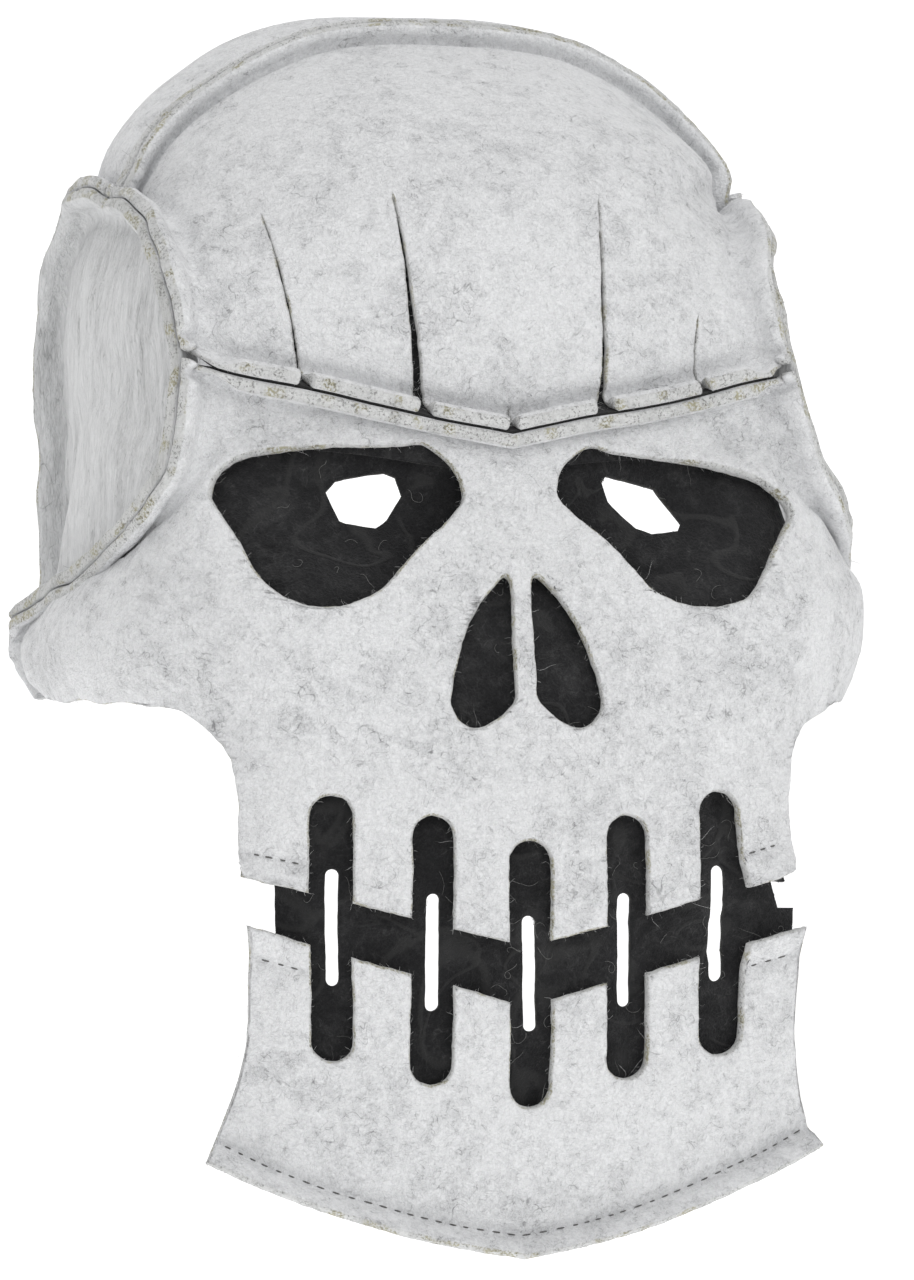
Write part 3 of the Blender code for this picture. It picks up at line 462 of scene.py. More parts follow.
def softened(points):  # the lean of the soft sides, and the unevenness of felt shaped by hand
    out = np.array(points, float)
    level = (form["originDrop"] - out[:, 2]) / form["height"]
    fine = np.linspace(0.01, 0.92, 97)
    left, right = (np.interp(level, fine, spline(*zip(*softness[side]), fine)) for side in ("leanLeft", "leanRight"))
    start, whole = (np.interp(level, softness["leanLevels"], softness[name]) for name in ("leanStart", "leanWhole"))
    share = np.clip((np.abs(out[:, 0]) / form["halfWidth"] - start) / (whole - start), 0, 1)
    out[:, 0] -= np.sign(out[:, 0]) * np.where(out[:, 0] > 0, left, right) * smooth(share)
    for centre, reach, shift in softness["tugs"]:
        far = np.linalg.norm(points - np.array(centre), axis=1)
        out += np.exp(-(far / reach) ** 2)[:, None] * np.array(shift)
    for length, reach, seed, start in softness["waves"]:
        shift = [noise.noise_vector(Vector(p) / length + Vector((seed, 2 * seed, -seed))) for p in points]
        begun = np.clip((np.abs(np.array(points)[:, :1]) - start) / softness["waveEase"], 0, 1)
        out += np.array(shift) * reach * begun
    return out


def gridPlace(inner, outer):  # where columns and rows lie between the two skins of a grid
    def place(flat, level):
        column = np.clip(flat[:, 0], 0, inner.shape[1] - 1 - 1e-6)
        row = np.clip(flat[:, 1], 0, inner.shape[0] - 1 - 1e-6)
        i, j = column.astype(int), row.astype(int)
        a, b = (column - i)[:, None], (row - j)[:, None]
        low, high = ((skin[j, i] * (1 - a) + skin[j, i + 1] * a) * (1 - b)
                     + (skin[j + 1, i] * (1 - a) + skin[j + 1, i + 1] * a) * b for skin in (inner, outer))
        level = np.reshape(level, (-1, 1))
        return low * (1 - level) + high * level
    return place


def gridNodes(grid):
    rows, columns = grid.shape[:2]
    return np.stack(np.meshgrid(np.arange(columns), np.arange(rows)), -1).reshape(-1, 2).astype(float)


def gridRim(grid):
    rows, columns = grid.shape[0] - 1, grid.shape[1] - 1
    return np.array([(c, 0) for c in range(columns)] + [(columns, r) for r in range(rows)]
                    + [(c, rows) for c in range(columns, 0, -1)] + [(0, r) for r in range(rows, 0, -1)], float)


def within(points, loop):
    inside = np.zeros(len(points), bool)
    for (x0, y0), (x1, y1) in zip(loop, np.roll(loop, -1, axis=0)):
        if y0 == y1:
            continue
        crosses = (y0 > points[:, 1]) != (y1 > points[:, 1])
        inside ^= crosses & (points[:, 0] < (x1 - x0) * (points[:, 1] - y0) / (y1 - y0) + x0)
    return inside


cutEdge = {
    # a rounded profile: level through the wall, and how far it stands back as a share of the wall
    "profile": ((0.0, 0.22), (0.10, 0.06), (0.36, -0.02), (0.64, -0.02), (0.90, 0.06), (1.0, 0.22)),
    "ragged": 0.08, "ragLength": 0.0020,    # raggedness as a share of the wall, and its wavelength
    "clear": 0.45,                          # free stations keep this share of a pitch from every outline
}
rims = []    # of the raw edges: the wall, the points, the way out of the edge, the way out of the felt


# triangulates the flat blank with every outline as an edge, and drops the waste
def cutFlat(nodes, rim, cuts=(), keeps=(), extra=()):
    loops = [rim, *cuts, *keeps]
    fixed = np.concatenate([*loops, *extra])
    tree = kdtree.KDTree(len(fixed))
    for k, (x, y) in enumerate(fixed):
        tree.insert((x, y, 0), k)
    tree.balance()
    free = [tuple(p) for p in nodes if tree.find((p[0], p[1], 0))[2] > cutEdge["clear"]]
    edges, start = [], 0
    for loop in loops:
        edges += [(start + k, start + (k + 1) % len(loop)) for k in range(len(loop))]
        start += len(loop)
    corners = [Vector(p) for p in fixed] + [Vector(p) for p in free]
    points, _, faces, _, _, _ = delaunay_2d_cdt(corners, edges, [], 0, 1e-4, False)
    points, faces = np.array([tuple(p) for p in points]), np.array([tuple(f) for f in faces if len(f) == 3])
    middle = points[faces].mean(axis=1)
    kept = within(middle, rim)
    for loop in cuts:
        kept &= ~within(middle, loop)
    for loop in keeps:
        kept &= within(middle, loop)
    faces = faces[kept]
    used = np.unique(faces)
    order = np.full(len(points), -1)
    order[used] = np.arange(len(used))
    return points[used], order[faces]


# bends the cut blank: two skins, and a rounded rim between them
def bentMesh(flat, faces, place, wall, relief=None):
    inner, outer = place(flat, np.zeros(len(flat))), place(flat, np.ones(len(flat)))
    if relief is not None:
        inner, outer = relief(flat, inner, outer)
    normal = unit(outer - inner)
    a, b, c = (inner[faces[:, k]] for k in range(3))
    if np.sum(np.cross(b - a, c - a) * normal[faces[:, 0]]) < 0:
        faces = faces[:, ::-1]
    sides = np.concatenate([faces[:, [0, 1]], faces[:, [1, 2]], faces[:, [2, 0]]])
    key = sides.min(axis=1) * len(flat) + sides.max(axis=1)
    _, first, count = np.unique(key, return_index=True, return_counts=True)
    rim = sides[first[count == 1]]
    outward = np.zeros_like(inner)
    heading = unit(outer[rim[:, 1]] + inner[rim[:, 1]] - outer[rim[:, 0]] - inner[rim[:, 0]])
    for end in (0, 1):
        np.add.at(outward, rim[:, end], np.cross(heading, normal[rim[:, end]]))
    edge = np.unique(rim)
    outward = unit(outward)
    ring = np.full(len(flat), -1)
    ring[edge] = np.arange(len(edge))
    points, rag = [], np.zeros(len(flat))
    rag[edge] = [noise.noise(Vector(p) / cutEdge["ragLength"]) * cutEdge["ragged"] * wall for p in inner[edge]]
    profile = cutEdge["profile"]
    for (level, back), skin in ((profile[0], inner), (profile[-1], outer)):
        points.append(skin + outward * (rag - back * wall)[:, None] * (ring >= 0)[:, None])
    for level, back in profile[1:-1]:
        points.append((inner[edge] * (1 - level) + outer[edge] * level)
                      + outward[edge] * (rag[edge] - back * wall)[:, None])
    rims.append((wall, (inner[edge] + outer[edge]) / 2, outward[edge], normal[edge]))
    count = len(flat)
    rows = [rim] + [2 * count + k * len(edge) + ring[rim] for k in range(len(profile) - 2)] + [count + rim]
    quads = np.concatenate([np.concatenate([low, high[:, ::-1]], axis=1) for low, high in zip(rows, rows[1:])])
    raw = np.zeros(2 * count + (len(profile) - 2) * len(edge))
    raw[edge] = raw[count + edge] = 0.5
    raw[2 * count:] = 1
    return np.concatenate(points), faces[:, ::-1].tolist() + (faces + count).tolist() + quads.tolist(), raw


def linked(name, data):
    thing = bpy.data.objects.new(name, data)
    bpy.context.scene.collection.objects.link(thing)
    return thing


def newPiece(name, points, faces, finish, slot, raw=None):
    mesh = bpy.data.meshes.new(name)
    mesh.from_pydata([tuple(p) for p in points], [], faces)
    mesh.validate()
    mesh.update()
    mesh.shade_smooth()
    if raw is not None:
        layer = mesh.attributes.new("rawEdge", "FLOAT", "POINT")
        layer.data.foreach_set("value", np.asarray(raw, np.float32))
    piece = linked(name, mesh)
    mesh.materials.append(finish)
    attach(piece, "root")
    print(name, len(faces), "faces")
    return piece


# materials
def nodeGroup(name, inputs, outputs):  # a default tells whether an input is a vector, a colour or a value
    group = bpy.data.node_groups.new(name, "ShaderNodeTree")
    for label, value in inputs.items():
        kind = {3: "Vector", 4: "Color"}[len(value)] if isinstance(value, tuple) else "Float"
        socket = group.interface.new_socket(name=label, in_out="INPUT", socket_type="NodeSocket" + kind)
        socket.default_value = value
    for label, kind in outputs.items():
        group.interface.new_socket(name=label, in_out="OUTPUT", socket_type="NodeSocket" + kind)
    return group, group.nodes.new("NodeGroupInput").outputs, group.nodes.new("NodeGroupOutput").inputs


def wire(tree, kind, settings=None, **inputs):  # adds a node; an input is a number, a colour or another node's output
    node = tree.nodes.new(kind)
    for key, value in (settings or {}).items():
        setattr(node, key, value)
    for key, value in inputs.items():
        numbered = key[0] == "i" and key[1:].isdigit()
        socket = node.inputs[int(key[1:]) if numbered else key.replace("_", " ")]
        if isinstance(value, bpy.types.NodeSocket):
            tree.links.new(value, socket)
        else:
            socket.default_value = value
    return node


def sums(tree, operation, *values):
    inputs = {f"i{k}": value for k, value in enumerate(values)}
    return wire(tree, "ShaderNodeMath", {"operation": operation}, **inputs).outputs[0]


def times(tree, first, *others):
    for other in others:
        first = sums(tree, "MULTIPLY", first, other)
    return first


def vectors(tree, operation, a, b):
    return wire(tree, "ShaderNodeVectorMath", {"operation": operation}, i0=a, i1=b).outputs[0]


def cloudy(tree, vector, scale, detail, **inputs):
    return wire(tree, "ShaderNodeTexNoise", Vector=vector, Scale=scale, Detail=detail, **inputs).outputs["Fac"]


def ramp(tree, value, low, high, to=(0.0, 1.0)):
    return wire(tree, "ShaderNodeMapRange", {"interpolation_type": "SMOOTHSTEP"}, Value=value, From_Min=low,
                From_Max=high, To_Min=to[0], To_Max=to[1]).outputs[0]


def blendColour(tree, share, a, b):
    return wire(tree, "ShaderNodeMix", {"data_type": "RGBA"}, i0=share, i6=a, i7=b).outputs[2]


def grouped(tree, group, **inputs):
    return wire(tree, "ShaderNodeGroup", {"node_tree": group}, **inputs).outputs


def hairGroup():  # thin crossing fibres: the level lines of a smooth noise, broken up by a second one
    group, into, out = nodeGroup("looseHairs", {"Vector": (0, 0, 0), "Scale": 300.0, "Width": 0.02, "Share": 0.5},
                                 {"Mask": "Float"})
    wave = cloudy(group, into["Vector"], into["Scale"], 1.5, Roughness=0.4, Distortion=0.8)
    off = sums(group, "ABSOLUTE", sums(group, "SUBTRACT", wave, 0.5))
    line = ramp(group, sums(group, "DIVIDE", off, into["Width"]), 0.25, 1.0, (1.0, 0.0))
    patch = cloudy(group, into["Vector"], times(group, into["Scale"], 0.9), 1.0)
    over = sums(group, "SUBTRACT", patch, sums(group, "SUBTRACT", 0.72, times(group, into["Share"], 0.44)))
    group.links.new(times(group, line, ramp(group, over, 0.0, 0.06)), out["Mask"])
    return group


nap = {
    # loose dark hairs: scale, width, share, strength, offset
    "hairs": ((270.0, 0.015, 0.50, 0.80, 0.0), (130.0, 0.008, 0.42, 0.90, 5.0), (620.0, 0.034, 0.60, 0.50, 9.0),
              (1050.0, 0.07, 0.75, 0.30, 14.0)),
    # raised fibres: scale, width, offset, height
    "fibres": ((900.0, 0.10, 20.0, 0.5), (480.0, 0.05, 31.0, 0.4)),
}


def feltGroup(hairs):  # mottled felt: clouds of darker wool, loose dark hairs and a fine fibrous nap
    group, into, out = nodeGroup("mottledFelt", {
        "Vector": (0, 0, 0), "Pale": (0.8, 0.8, 0.8, 1), "Grey": (0.4, 0.4, 0.4, 1), "Hair": (0.1, 0.1, 0.1, 1),
        "Clouds": 0.5, "Hairs": 0.5}, {"Color": "Color", "Height": "Float"})
    vector = into["Vector"]
    broad = cloudy(group, vector, 36.0, 3.0, Roughness=0.5, Distortion=0.3)
    patchy = cloudy(group, vector, 190.0, 8.0, Roughness=0.78, Distortion=0.4)
    patches = ramp(group, sums(group, "ADD", times(group, broad, 0.28), times(group, patchy, 0.72)), 0.44, 0.66)
    fine = cloudy(group, vector, 1150.0, 4.0, Roughness=0.8)
    colour = blendColour(group, times(group, patches, into["Clouds"]), into["Pale"], into["Grey"])
    colour = blendColour(group, ramp(group, fine, 0.34, 0.72, (0.0, 0.30)), colour, into["Grey"])
    height = times(group, fine, 0.5)
    dense = sums(group, "MULTIPLY_ADD", patches, 0.82, 0.18)
    for scale, width, share, strength, shift in nap["hairs"]:
        moved = vectors(group, "ADD", vector, (shift, -shift, 2 * shift))
        lines = grouped(group, hairs, Vector=moved, Scale=scale, Width=width, Share=share)["Mask"]
        colour = blendColour(group, times(group, lines, dense, into["Hairs"], strength), colour, into["Hair"])
    for scale, width, shift, high in nap["fibres"]:
        moved = vectors(group, "ADD", vector, (shift, shift, -shift))
        fibre = grouped(group, hairs, Vector=moved, Scale=scale, Width=width, Share=0.9)["Mask"]
        height = sums(group, "MULTIPLY_ADD", fibre, high, height)
    group.links.new(colour, out["Color"])
    group.links.new(height, out["Height"])
    return group


def rawEdgeGroup():  # a cut edge: packed fibre ends with dark and yellowish green specks
    group, into, out = nodeGroup("rawEdgeSpecks", {
        "Color": (0.8, 0.8, 0.8, 1), "Vector": (0, 0, 0), "Edge": 0.0, "Height": 0.0, "Specks": 0.5},
        {"Color": "Color", "Height": "Float"})
    rim = ramp(group, into["Edge"], 0.6, 1.0)
    ends = cloudy(group, into["Vector"], 1700.0, 2.0, Roughness=0.6)
    where = cloudy(group, into["Vector"], 260.0, 2.0)
    tint = cloudy(group, into["Vector"], 170.0, 1.0)
    rimmed = times(group, rim, into["Specks"])
    green = times(group, ramp(group, tint, 0.52, 0.62), ramp(group, ends, 0.42, 0.56))
    dark = times(group, ramp(group, ends, 0.53, 0.63), ramp(group, where, 0.36, 0.56))
    colour = blendColour(group, times(group, rimmed, 0.35), into["Color"], (0.50, 0.50, 0.47, 1))
    colour = blendColour(group, times(group, rimmed, green, 0.75), colour, (0.34, 0.31, 0.16, 1))
    colour = blendColour(group, times(group, rimmed, dark, 0.6), colour, (0.09, 0.09, 0.08, 1))
    group.links.new(colour, out["Color"])
    group.links.new(sums(group, "MULTIPLY_ADD", times(group, rim, ends), 1.2, into["Height"]), out["Height"])
    return group


feltFinishes = {
    "lightFelt": {
        "pale": (0.84, 0.845, 0.855, 1), "grey": (0.36, 0.365, 0.38, 1), "hair": (0.085, 0.085, 0.09, 1),
        "clouds": 0.38, "hairs": 0.85, "roughness": 0.93, "sheen": 0.25, "nap": 0.0005, "specks": 1.0},
    # side panels: the same light felt with upright fibres, its colours set darker than the front felt as painted
    # shade of the sides
    "brushedShadedFelt": {
        "pale": (0.74, 0.745, 0.75, 1), "grey": (0.30, 0.305, 0.31, 1), "hair": (0.06, 0.06, 0.06, 1),
        "clouds": 0.42, "hairs": 0.6, "stretch": (1, 1, 0.22), "roughness": 0.93, "sheen": 0.25, "nap": 0.0005,
        "specks": 1.0},
    "blackFelt": {
        "pale": (0.003, 0.003, 0.004, 1), "grey": (0.034, 0.034, 0.035, 1), "hair": (0.12, 0.12, 0.12, 1),
        "clouds": 0.7, "hairs": 0.4, "roughness": 0.88, "sheen": 0.12, "nap": 0.0003, "specks": 0.05,
        # creases: level lines painted a little paler, a painted highlight along the folds of the lining
        "creases": ((22.0, 0.022), (48.0, 0.030)), "creaseHighlight": (0.030, 0.030, 0.030, 1)},
}


def newMaterial(name, **inputs):
    material = bpy.data.materials.new(name)
    material.use_nodes = True
    shader = material.node_tree.nodes["Principled BSDF"]
    for label, value in inputs.items():
        shader.inputs[label.replace("_", " ")].default_value = value
    return material, material.node_tree, shader.inputs


def feltMaterial(name, hairy, mottled, rawEdge):
    look = feltFinishes[name]
    material, tree, shader = newMaterial(name, Roughness=look["roughness"], Specular_IOR_Level=0.25,
                                         Sheen_Weight=look["sheen"], Sheen_Roughness=0.6)
    where = wire(tree, "ShaderNodeTexCoord").outputs["Object"]
    vector = vectors(tree, "MULTIPLY", where, look.get("stretch", (1, 1, 1)))
    felt = grouped(tree, mottled, Vector=vector, Pale=look["pale"], Grey=look["grey"], Hair=look["hair"],
                   Clouds=look["clouds"], Hairs=look["hairs"])
    edge = wire(tree, "ShaderNodeAttribute", {"attribute_name": "rawEdge"}).outputs["Fac"]
    cut = grouped(tree, rawEdge, Color=felt["Color"], Vector=where, Edge=edge, Height=felt["Height"],
                  Specks=look["specks"])
    colour, height = cut["Color"], cut["Height"]
    for scale, width in look.get("creases", ()):    # fold lines painted a little paler than the cloth: a painted highlight where the folds catch the light
        line = grouped(tree, hairy, Vector=where, Scale=scale, Width=width, Share=0.75)["Mask"]
        colour = blendColour(tree, times(tree, line, 0.6), colour, look["creaseHighlight"])
        height = sums(tree, "MULTIPLY_ADD", line, 1.5, height)
    bump = wire(tree, "ShaderNodeBump", Strength=0.6, Distance=look["nap"], Height=height)
    tree.links.new(colour, shader["Base Color"])
    tree.links.new(bump.outputs["Normal"], shader["Normal"])
    return material


hairs = hairGroup()
finishGroups = (hairs, feltGroup(hairs), rawEdgeGroup())
lightFelt, brushedShadedFelt, blackFelt = (feltMaterial(name, *finishGroups) for name in feltFinishes)


def plainMaterial(name, colour, roughness):
    material, tree, shader = newMaterial(name, Roughness=roughness, Specular_IOR_Level=0.3)
    twist = cloudy(tree, wire(tree, "ShaderNodeTexCoord").outputs["Object"], 2600.0, 1.0)
    dark = tuple(c * 0.55 for c in colour[:3]) + (1,)
    tree.links.new(blendColour(tree, ramp(tree, twist, 0.35, 0.65), colour, dark), shader["Base Color"])
    return material


# the grey thread's colour set dark: its own tone, with painted shade of the needle holes and groove it lies in
shadedSewingThread = plainMaterial("shadedSewingThread", (0.17, 0.17, 0.165, 1), 0.8)
paleFuzz = plainMaterial("paleFuzz", (0.62, 0.62, 0.62, 1), 0.9)
greyFuzz = plainMaterial("greyFuzz", (0.24, 0.24, 0.235, 1), 0.9)
print("felt and thread materials ready")


# panels: finish, slot and wall of each cloth
lightCloth = (lightFelt, "light_felt", form["felt"])
# the side panels' cloth, its felt painted darker as painted shade
brushedShadedCloth = (brushedShadedFelt, "light_felt", form["felt"])
blackCloth = (blackFelt, "black_felt", form["lining"])


def bentPiece(name, node, blank, place, cloth, relief=None):
    finish, slot, wall = cloth
    points, faces, raw = bentMesh(*blank, place, wall, relief)
    piece = newPiece(name, softened(points), faces, finish, slot, raw)
    if node:
        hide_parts(node)
    return piece


def sewnPanel(name, node, grid, skins, cuts=(), keeps=(), extra=(), relief=None, cloth=lightCloth):
    blank = cutFlat(gridNodes(grid), gridRim(grid), cuts, keeps, extra)
    return bentPiece(name, node, blank, gridPlace(*skins), cloth, relief)


def faceRows(steps, folded):
    rows = []
    for step in steps:
        station, fade = 0, max(0.0, 1 - (step - tailRow) / seams["fadeSteps"])
        if step <= tailRow:
            station, fade = browStation - int(np.argmin(abs(wingSteps - step))), 1
        rows.append(halfRow(faceLine(step), seamTangents[station], float(folded) * fade))
    return np.array(rows)


def forward(seam):
    return np.broadcast_to(unit(np.array([0, -1, -seams["browDroop"]])), seam.shape)


def upward(seam):
    return unit(seam - spot(0.0, seams["axisDepth"] * form["depth"], seams["axisDrop"] * form["height"]))


stitching = {
    "groove": 0.0009, "grooveWidth": 0.0011, "thread": 0.00017,
    "length": 0.0024, "lengths": (0.6, 1.1), "space": 0.0013, "spaces": (0.7, 1.3),
    "beside": (0, -0.45, -0.22, 0.22, 0.45),    # rows of points along a stitch line, so that the groove can bend
    "flareFrom": 0.54, "flareReach": 1.3, "flarePower": 1.3,
}
lipStitches = {  # first and last girth, distance from the lip as a share of the height, flare of the free edge
    "upper": ((-0.690, -0.562, -0.0200, 0.0012), (0.562, 0.690, -0.0240, 0.0020)),
    "lower": ((-0.690, -0.562, 0.0222, 0.0016), (0.562, 0.690, 0.0200, 0.0022)),
}
threads = []    # rows of stitches as points on the outer skin, with the normal there


def lipRows(grid, which):
    return [locate(grid, mouthLine(which, (first, last), shift)) for first, last, shift, _ in lipStitches[which]]


def grooveRelief(grid, skins, rows, flares=()):  # pulls the outer skin in along the stitches
    put = gridPlace(*skins)
    paths = [put(row, np.ones(len(row))) for row in rows]
    tree = kdtree.KDTree(sum(map(len, paths)))
    for k, point in enumerate(np.concatenate(paths)):
        tree.insert(point, k)
    tree.balance()

    def relief(flat, inner, outer):
        out = unit(outer - inner)
        far = np.array([tree.find(p)[2] for p in outer])
        dip = stitching["groove"] * np.exp(-(far / stitching["grooveWidth"]) ** 2)
        lift = np.zeros(len(flat))
        for flare in flares:
            lift += flare(flat)
        return inner + out * lift[:, None], outer + out * (lift - dip)[:, None]

    for row, path in zip(rows, paths):
        out = unit(path - put(row, np.zeros(len(row))))
        threads.append((path + out * sum(flare(row) for flare in flares)[:, None], out))
    return relief


def beside(rows):
    out = []
    for row in rows:
        heading = unit(np.gradient(row, axis=0))
        square = np.stack([-heading[:, 1], heading[:, 0]], -1)
        out += [row + square * far for far in stitching["beside"]]
    return out


def lipFlare(grid, which):  # the free strip beyond the stitches stands off
    girths, drops = patternOf(grid)
    pattern = np.stack([girths, drops, girths], -1)
    put = gridPlace(pattern, pattern)

    def flare(flat):
        girth, drop, _ = put(flat, np.zeros(len(flat))).T
        lift = np.zeros(len(flat))
        for first, _, shift, reach in lipStitches[which]:
            past = (drop - lipDrop(teeth[which], girth / teeth["mouthReach"]) - shift) / -shift
            near = (np.sign(first) * girth > stitching["flareFrom"]) & (past > 0)
            lift += np.where(near, reach * np.clip(past, 0, stitching["flareReach"]) ** stitching["flarePower"], 0)
        return lift
    return flare


toothSlots = capsules(*teeth["slots"])


def buildFace():
    half = faceRows(np.concatenate([wingSteps, cheekSteps]), True)
    grid = mirrored(foldedRows(half, forward(half[0]), seams["brow"], seams["browGap"]))
    body, shift = grid[foldRows:], np.array([0, foldRows])
    skins = feltSkins(grid, low=True)
    shapes = [rounded(eyeOutlines[1]), rounded(eyeOutlines[0], True)]
    shapes += [rounded(noseOutline, mirror) + (teeth["noseShift"], 0) for mirror in (False, True)]
    shapes += [polygon(underWing, mirror) for mirror in (False, True)]
    cuts = [locate(body, shape) + shift for shape in shapes + toothSlots] + [mouthCut(body, "upper") + shift]
    rows = [row + shift for row in lipRows(body, "upper")]
    flare = lipFlare(body, "upper")
    relief = grooveRelief(grid, skins, rows, [lambda flat: flare(flat - shift)])
    sewnPanel("facePanel", "face_panel", grid, skins, cuts, extra=beside(rows), relief=relief)
    return grid


jaw = {"rows": (9.6, 13), "hemShares": (1, 0.7, 0.4, 0.2), "stitchColumns": 2}


def buildJaw():
    steps = evenSteps(faceLine, *jaw["rows"])
    half = np.array([halfRow(faceLine(step)) for step in steps])[::-1]
    lean = seams["hemLean"]
    way = unit(unit(half[0] - half[1]) * math.cos(lean) + np.array([0, -1, 0]) * math.sin(lean))
    hem = [half[0] + way * seams["hem"] * share for share in jaw["hemShares"]]
    grid = mirrored(np.concatenate([np.array(hem), half])[::-1])
    skins = feltSkins(grid, sides=False)
    cuts = [locate(grid, shape) for shape in toothSlots] + [mouthCut(grid, "lower")]
    last = len(steps) - 1
    across = np.linspace(jaw["stitchColumns"], grid.shape[1] - 1 - jaw["stitchColumns"], form["linePoints"])
    rows = lipRows(grid, "lower") + [np.stack([across, np.full(len(across), float(last))], -1)]

    def tuck(flat):  # the chin is drawn in towards the hem stitches, and the hem stands forward of them
        past = flat[:, 1] - last
        share = np.clip(past / seams["tuckRows"] + 1, 0, 1)
        return -seams["tuck"] * np.where(past > 0, 1 - past / seams["hemRows"], smooth(share))

    relief = grooveRelief(grid, skins, rows, [lipFlare(grid, "lower"), tuck])
    sewnPanel("jawPanel", "jaw_panel", grid, skins, cuts, extra=beside(rows), relief=relief)


def browOutlines(grid):  # slits from the flaps up the forehead, opening at the raw edge
    body = grid[foldRows:-foldRows]
    middle = grid.shape[1] // 2
    pitch = np.linalg.norm(body[0, middle + 1] - body[0, middle])
    out = []
    for girth, rawGap, seamGap, topGirth, topDrop in browCuts:
        low = locate(body, [(girth * form["halfWidth"], form["originDrop"] - body[0, middle, 2])])[0][0]
        raw, seam = rawGap / pitch, seamGap / pitch
        shape = [(low - raw, -1), (low + raw, -1)]
        if girth == 0:    # the middle cut ends within the fold
            shape.append((low, foldRows - 1.5))
        else:
            top = locate(body, [(topGirth * form["halfWidth"], topDrop * form["height"])])[0] + (0, foldRows)
            shape += [(low + seam, foldRows - 3), (low + seam * 0.8, foldRows + 3), top,
                      (low - seam * 0.8, foldRows + 3), (low - seam, foldRows - 3)]
        out.append(divided(shape, 0.5))
    return out


def buildDome(name, node, table, steps, station, lowWelt, highWelt=None, cutsFor=lambda grid: ()):
    half = np.array([halfRow(domeLine(table, step), tangent)
                     for step, tangent in zip(steps, seamTangents[station:])])
    half = foldedRows(half, lowWelt[0](half[0]), lowWelt[1], seams["browGap"])
    if highWelt:
        half = foldedRows(half[::-1], highWelt[0](half[-1]), highWelt[1])[::-1]
    grid = mirrored(half)
    sewnPanel(name, node, grid, feltSkins(grid, -1, True, bool(highWelt)), cutsFor(grid))
    return grid


sidePanel = {
    "swell": 0.003, "spokes": 14, "freeStations": 24,
    "radius": 38.0, "rimStep": 1.1, "step": 2.3,    # of the flat disc that the panel is bent from
}


def buildSides():
    share = np.linspace(0, 1, sidePanel["freeStations"] + 2)[1:-1, None]
    free = seamCorners[-1] * (1 - share) + seamCorners[0] * share
    corners = np.concatenate([seamCorners, free])
    tangents = np.concatenate([seamTangents, np.repeat(unit(free[-1:] - free[:1]), len(free), axis=0)])
    middle, stations = corners.mean(axis=0), len(corners)
    way = ringWay(corners)
    way[-len(free):] = unit(free - middle)
    start = corners - unit(corners - middle) * setback(corners, middle, tangents)[:, None]
    shares = np.linspace(0, 1, sidePanel["spokes"] + 1)
    swell = np.array([sidePanel["swell"], 0, 0])
    rings = np.array([middle + (start - middle) * at + swell * (1 - at ** 2) for at in shares])
    grid = np.concatenate([rings, turnedOut(start, corners, way, tangents, seams["temple"])])
    outward = normalsOf(np.concatenate([grid[:, -1:], grid, grid[:, :1]], axis=1))[:, 1:-1]
    outward *= np.sign(outward[2, 0, 0])
    outward[:2] = np.array([1, 0, 0])
    wall = np.full(grid.shape[:2], form["felt"])
    wall[-foldRows:] *= np.array(form["pull"])[:, None]
    skins = [np.concatenate([skin, skin[:, :1]], axis=1) for skin in (grid, grid + outward * wall[:, :, None])]

    radius, step = sidePanel["radius"], sidePanel["step"]
    radii = np.concatenate([shares * radius, radius + sidePanel["rimStep"] * np.arange(1, foldRows + 1)])
    turn = np.arange(stations) / stations * 2 * math.pi
    circle = np.stack([np.cos(turn), np.sin(turn)], -1)
    lattice = [(x * step + (y % 2) * step / 2, y * step * 0.87) for x in range(-20, 20) for y in range(-22, 22)]
    nodes = [circle * far for far in radii[len(shares) - 1:-1]]
    nodes.append(np.array([p for p in lattice if math.hypot(*p) < radius - step * 0.6]))
    blank = cutFlat(np.concatenate(nodes), circle * radii[-1])

    for name, node, side in (("sidePanelLeft", "side_panel_left", 1), ("sidePanelRight", "side_panel_right", -1)):
        spread = gridPlace(*(skin * np.array([side, 1, 1]) for skin in skins))

        def onDisc(flat, level):
            column = (np.arctan2(flat[:, 1], flat[:, 0]) / (2 * math.pi) % 1.0) * stations
            row = np.interp(np.hypot(flat[:, 0], flat[:, 1]), radii, np.arange(len(radii)))
            return spread(np.stack([column, row], -1), level)

        bentPiece(name, node, blank, onDisc, brushedShadedCloth)


liningLook = {
    "rows": (0.5, 12.5), "foreheadColumns": 28, "foreheadTop": 0.103,
    "eyeSag": (0.004, 0.40, 0.30, 0.425, 0.055),        # reach, girth and spread, drop and spread
    "mouthSag": (0.0006, 0.74, 0.08),                   # reach, drop and spread
    "crease": (0.0010, 0.10, 0.021, (4.0, 1.0, 7.0)),   # reach, width, wavelength and seed
    "seamWall": 0.0003, "seamGap": 0.00003, "seamRows": 5,
}


def liningRelief(grid):  # how far the lining hangs behind the felt
    girth, drop = patternOf(grid)
    reach, across, wide, level, high = liningLook["eyeSag"]
    sag = reach * np.exp(-((np.abs(girth) - across) / wide) ** 2 - ((drop - level) / high) ** 2)
    reach, level, high = liningLook["mouthSag"]
    sag += reach * np.exp(-((drop - level) / high) ** 2)
    reach, width, length, seed = liningLook["crease"]
    far = np.array([abs(noise.noise(Vector(p) / length + Vector(seed))) for p in grid.reshape(-1, 3)])
    sag += reach * np.clip(1 - far.reshape(girth.shape) / width, 0, 1) ** 2
    return form["lining"] + form["liningAir"] + sag


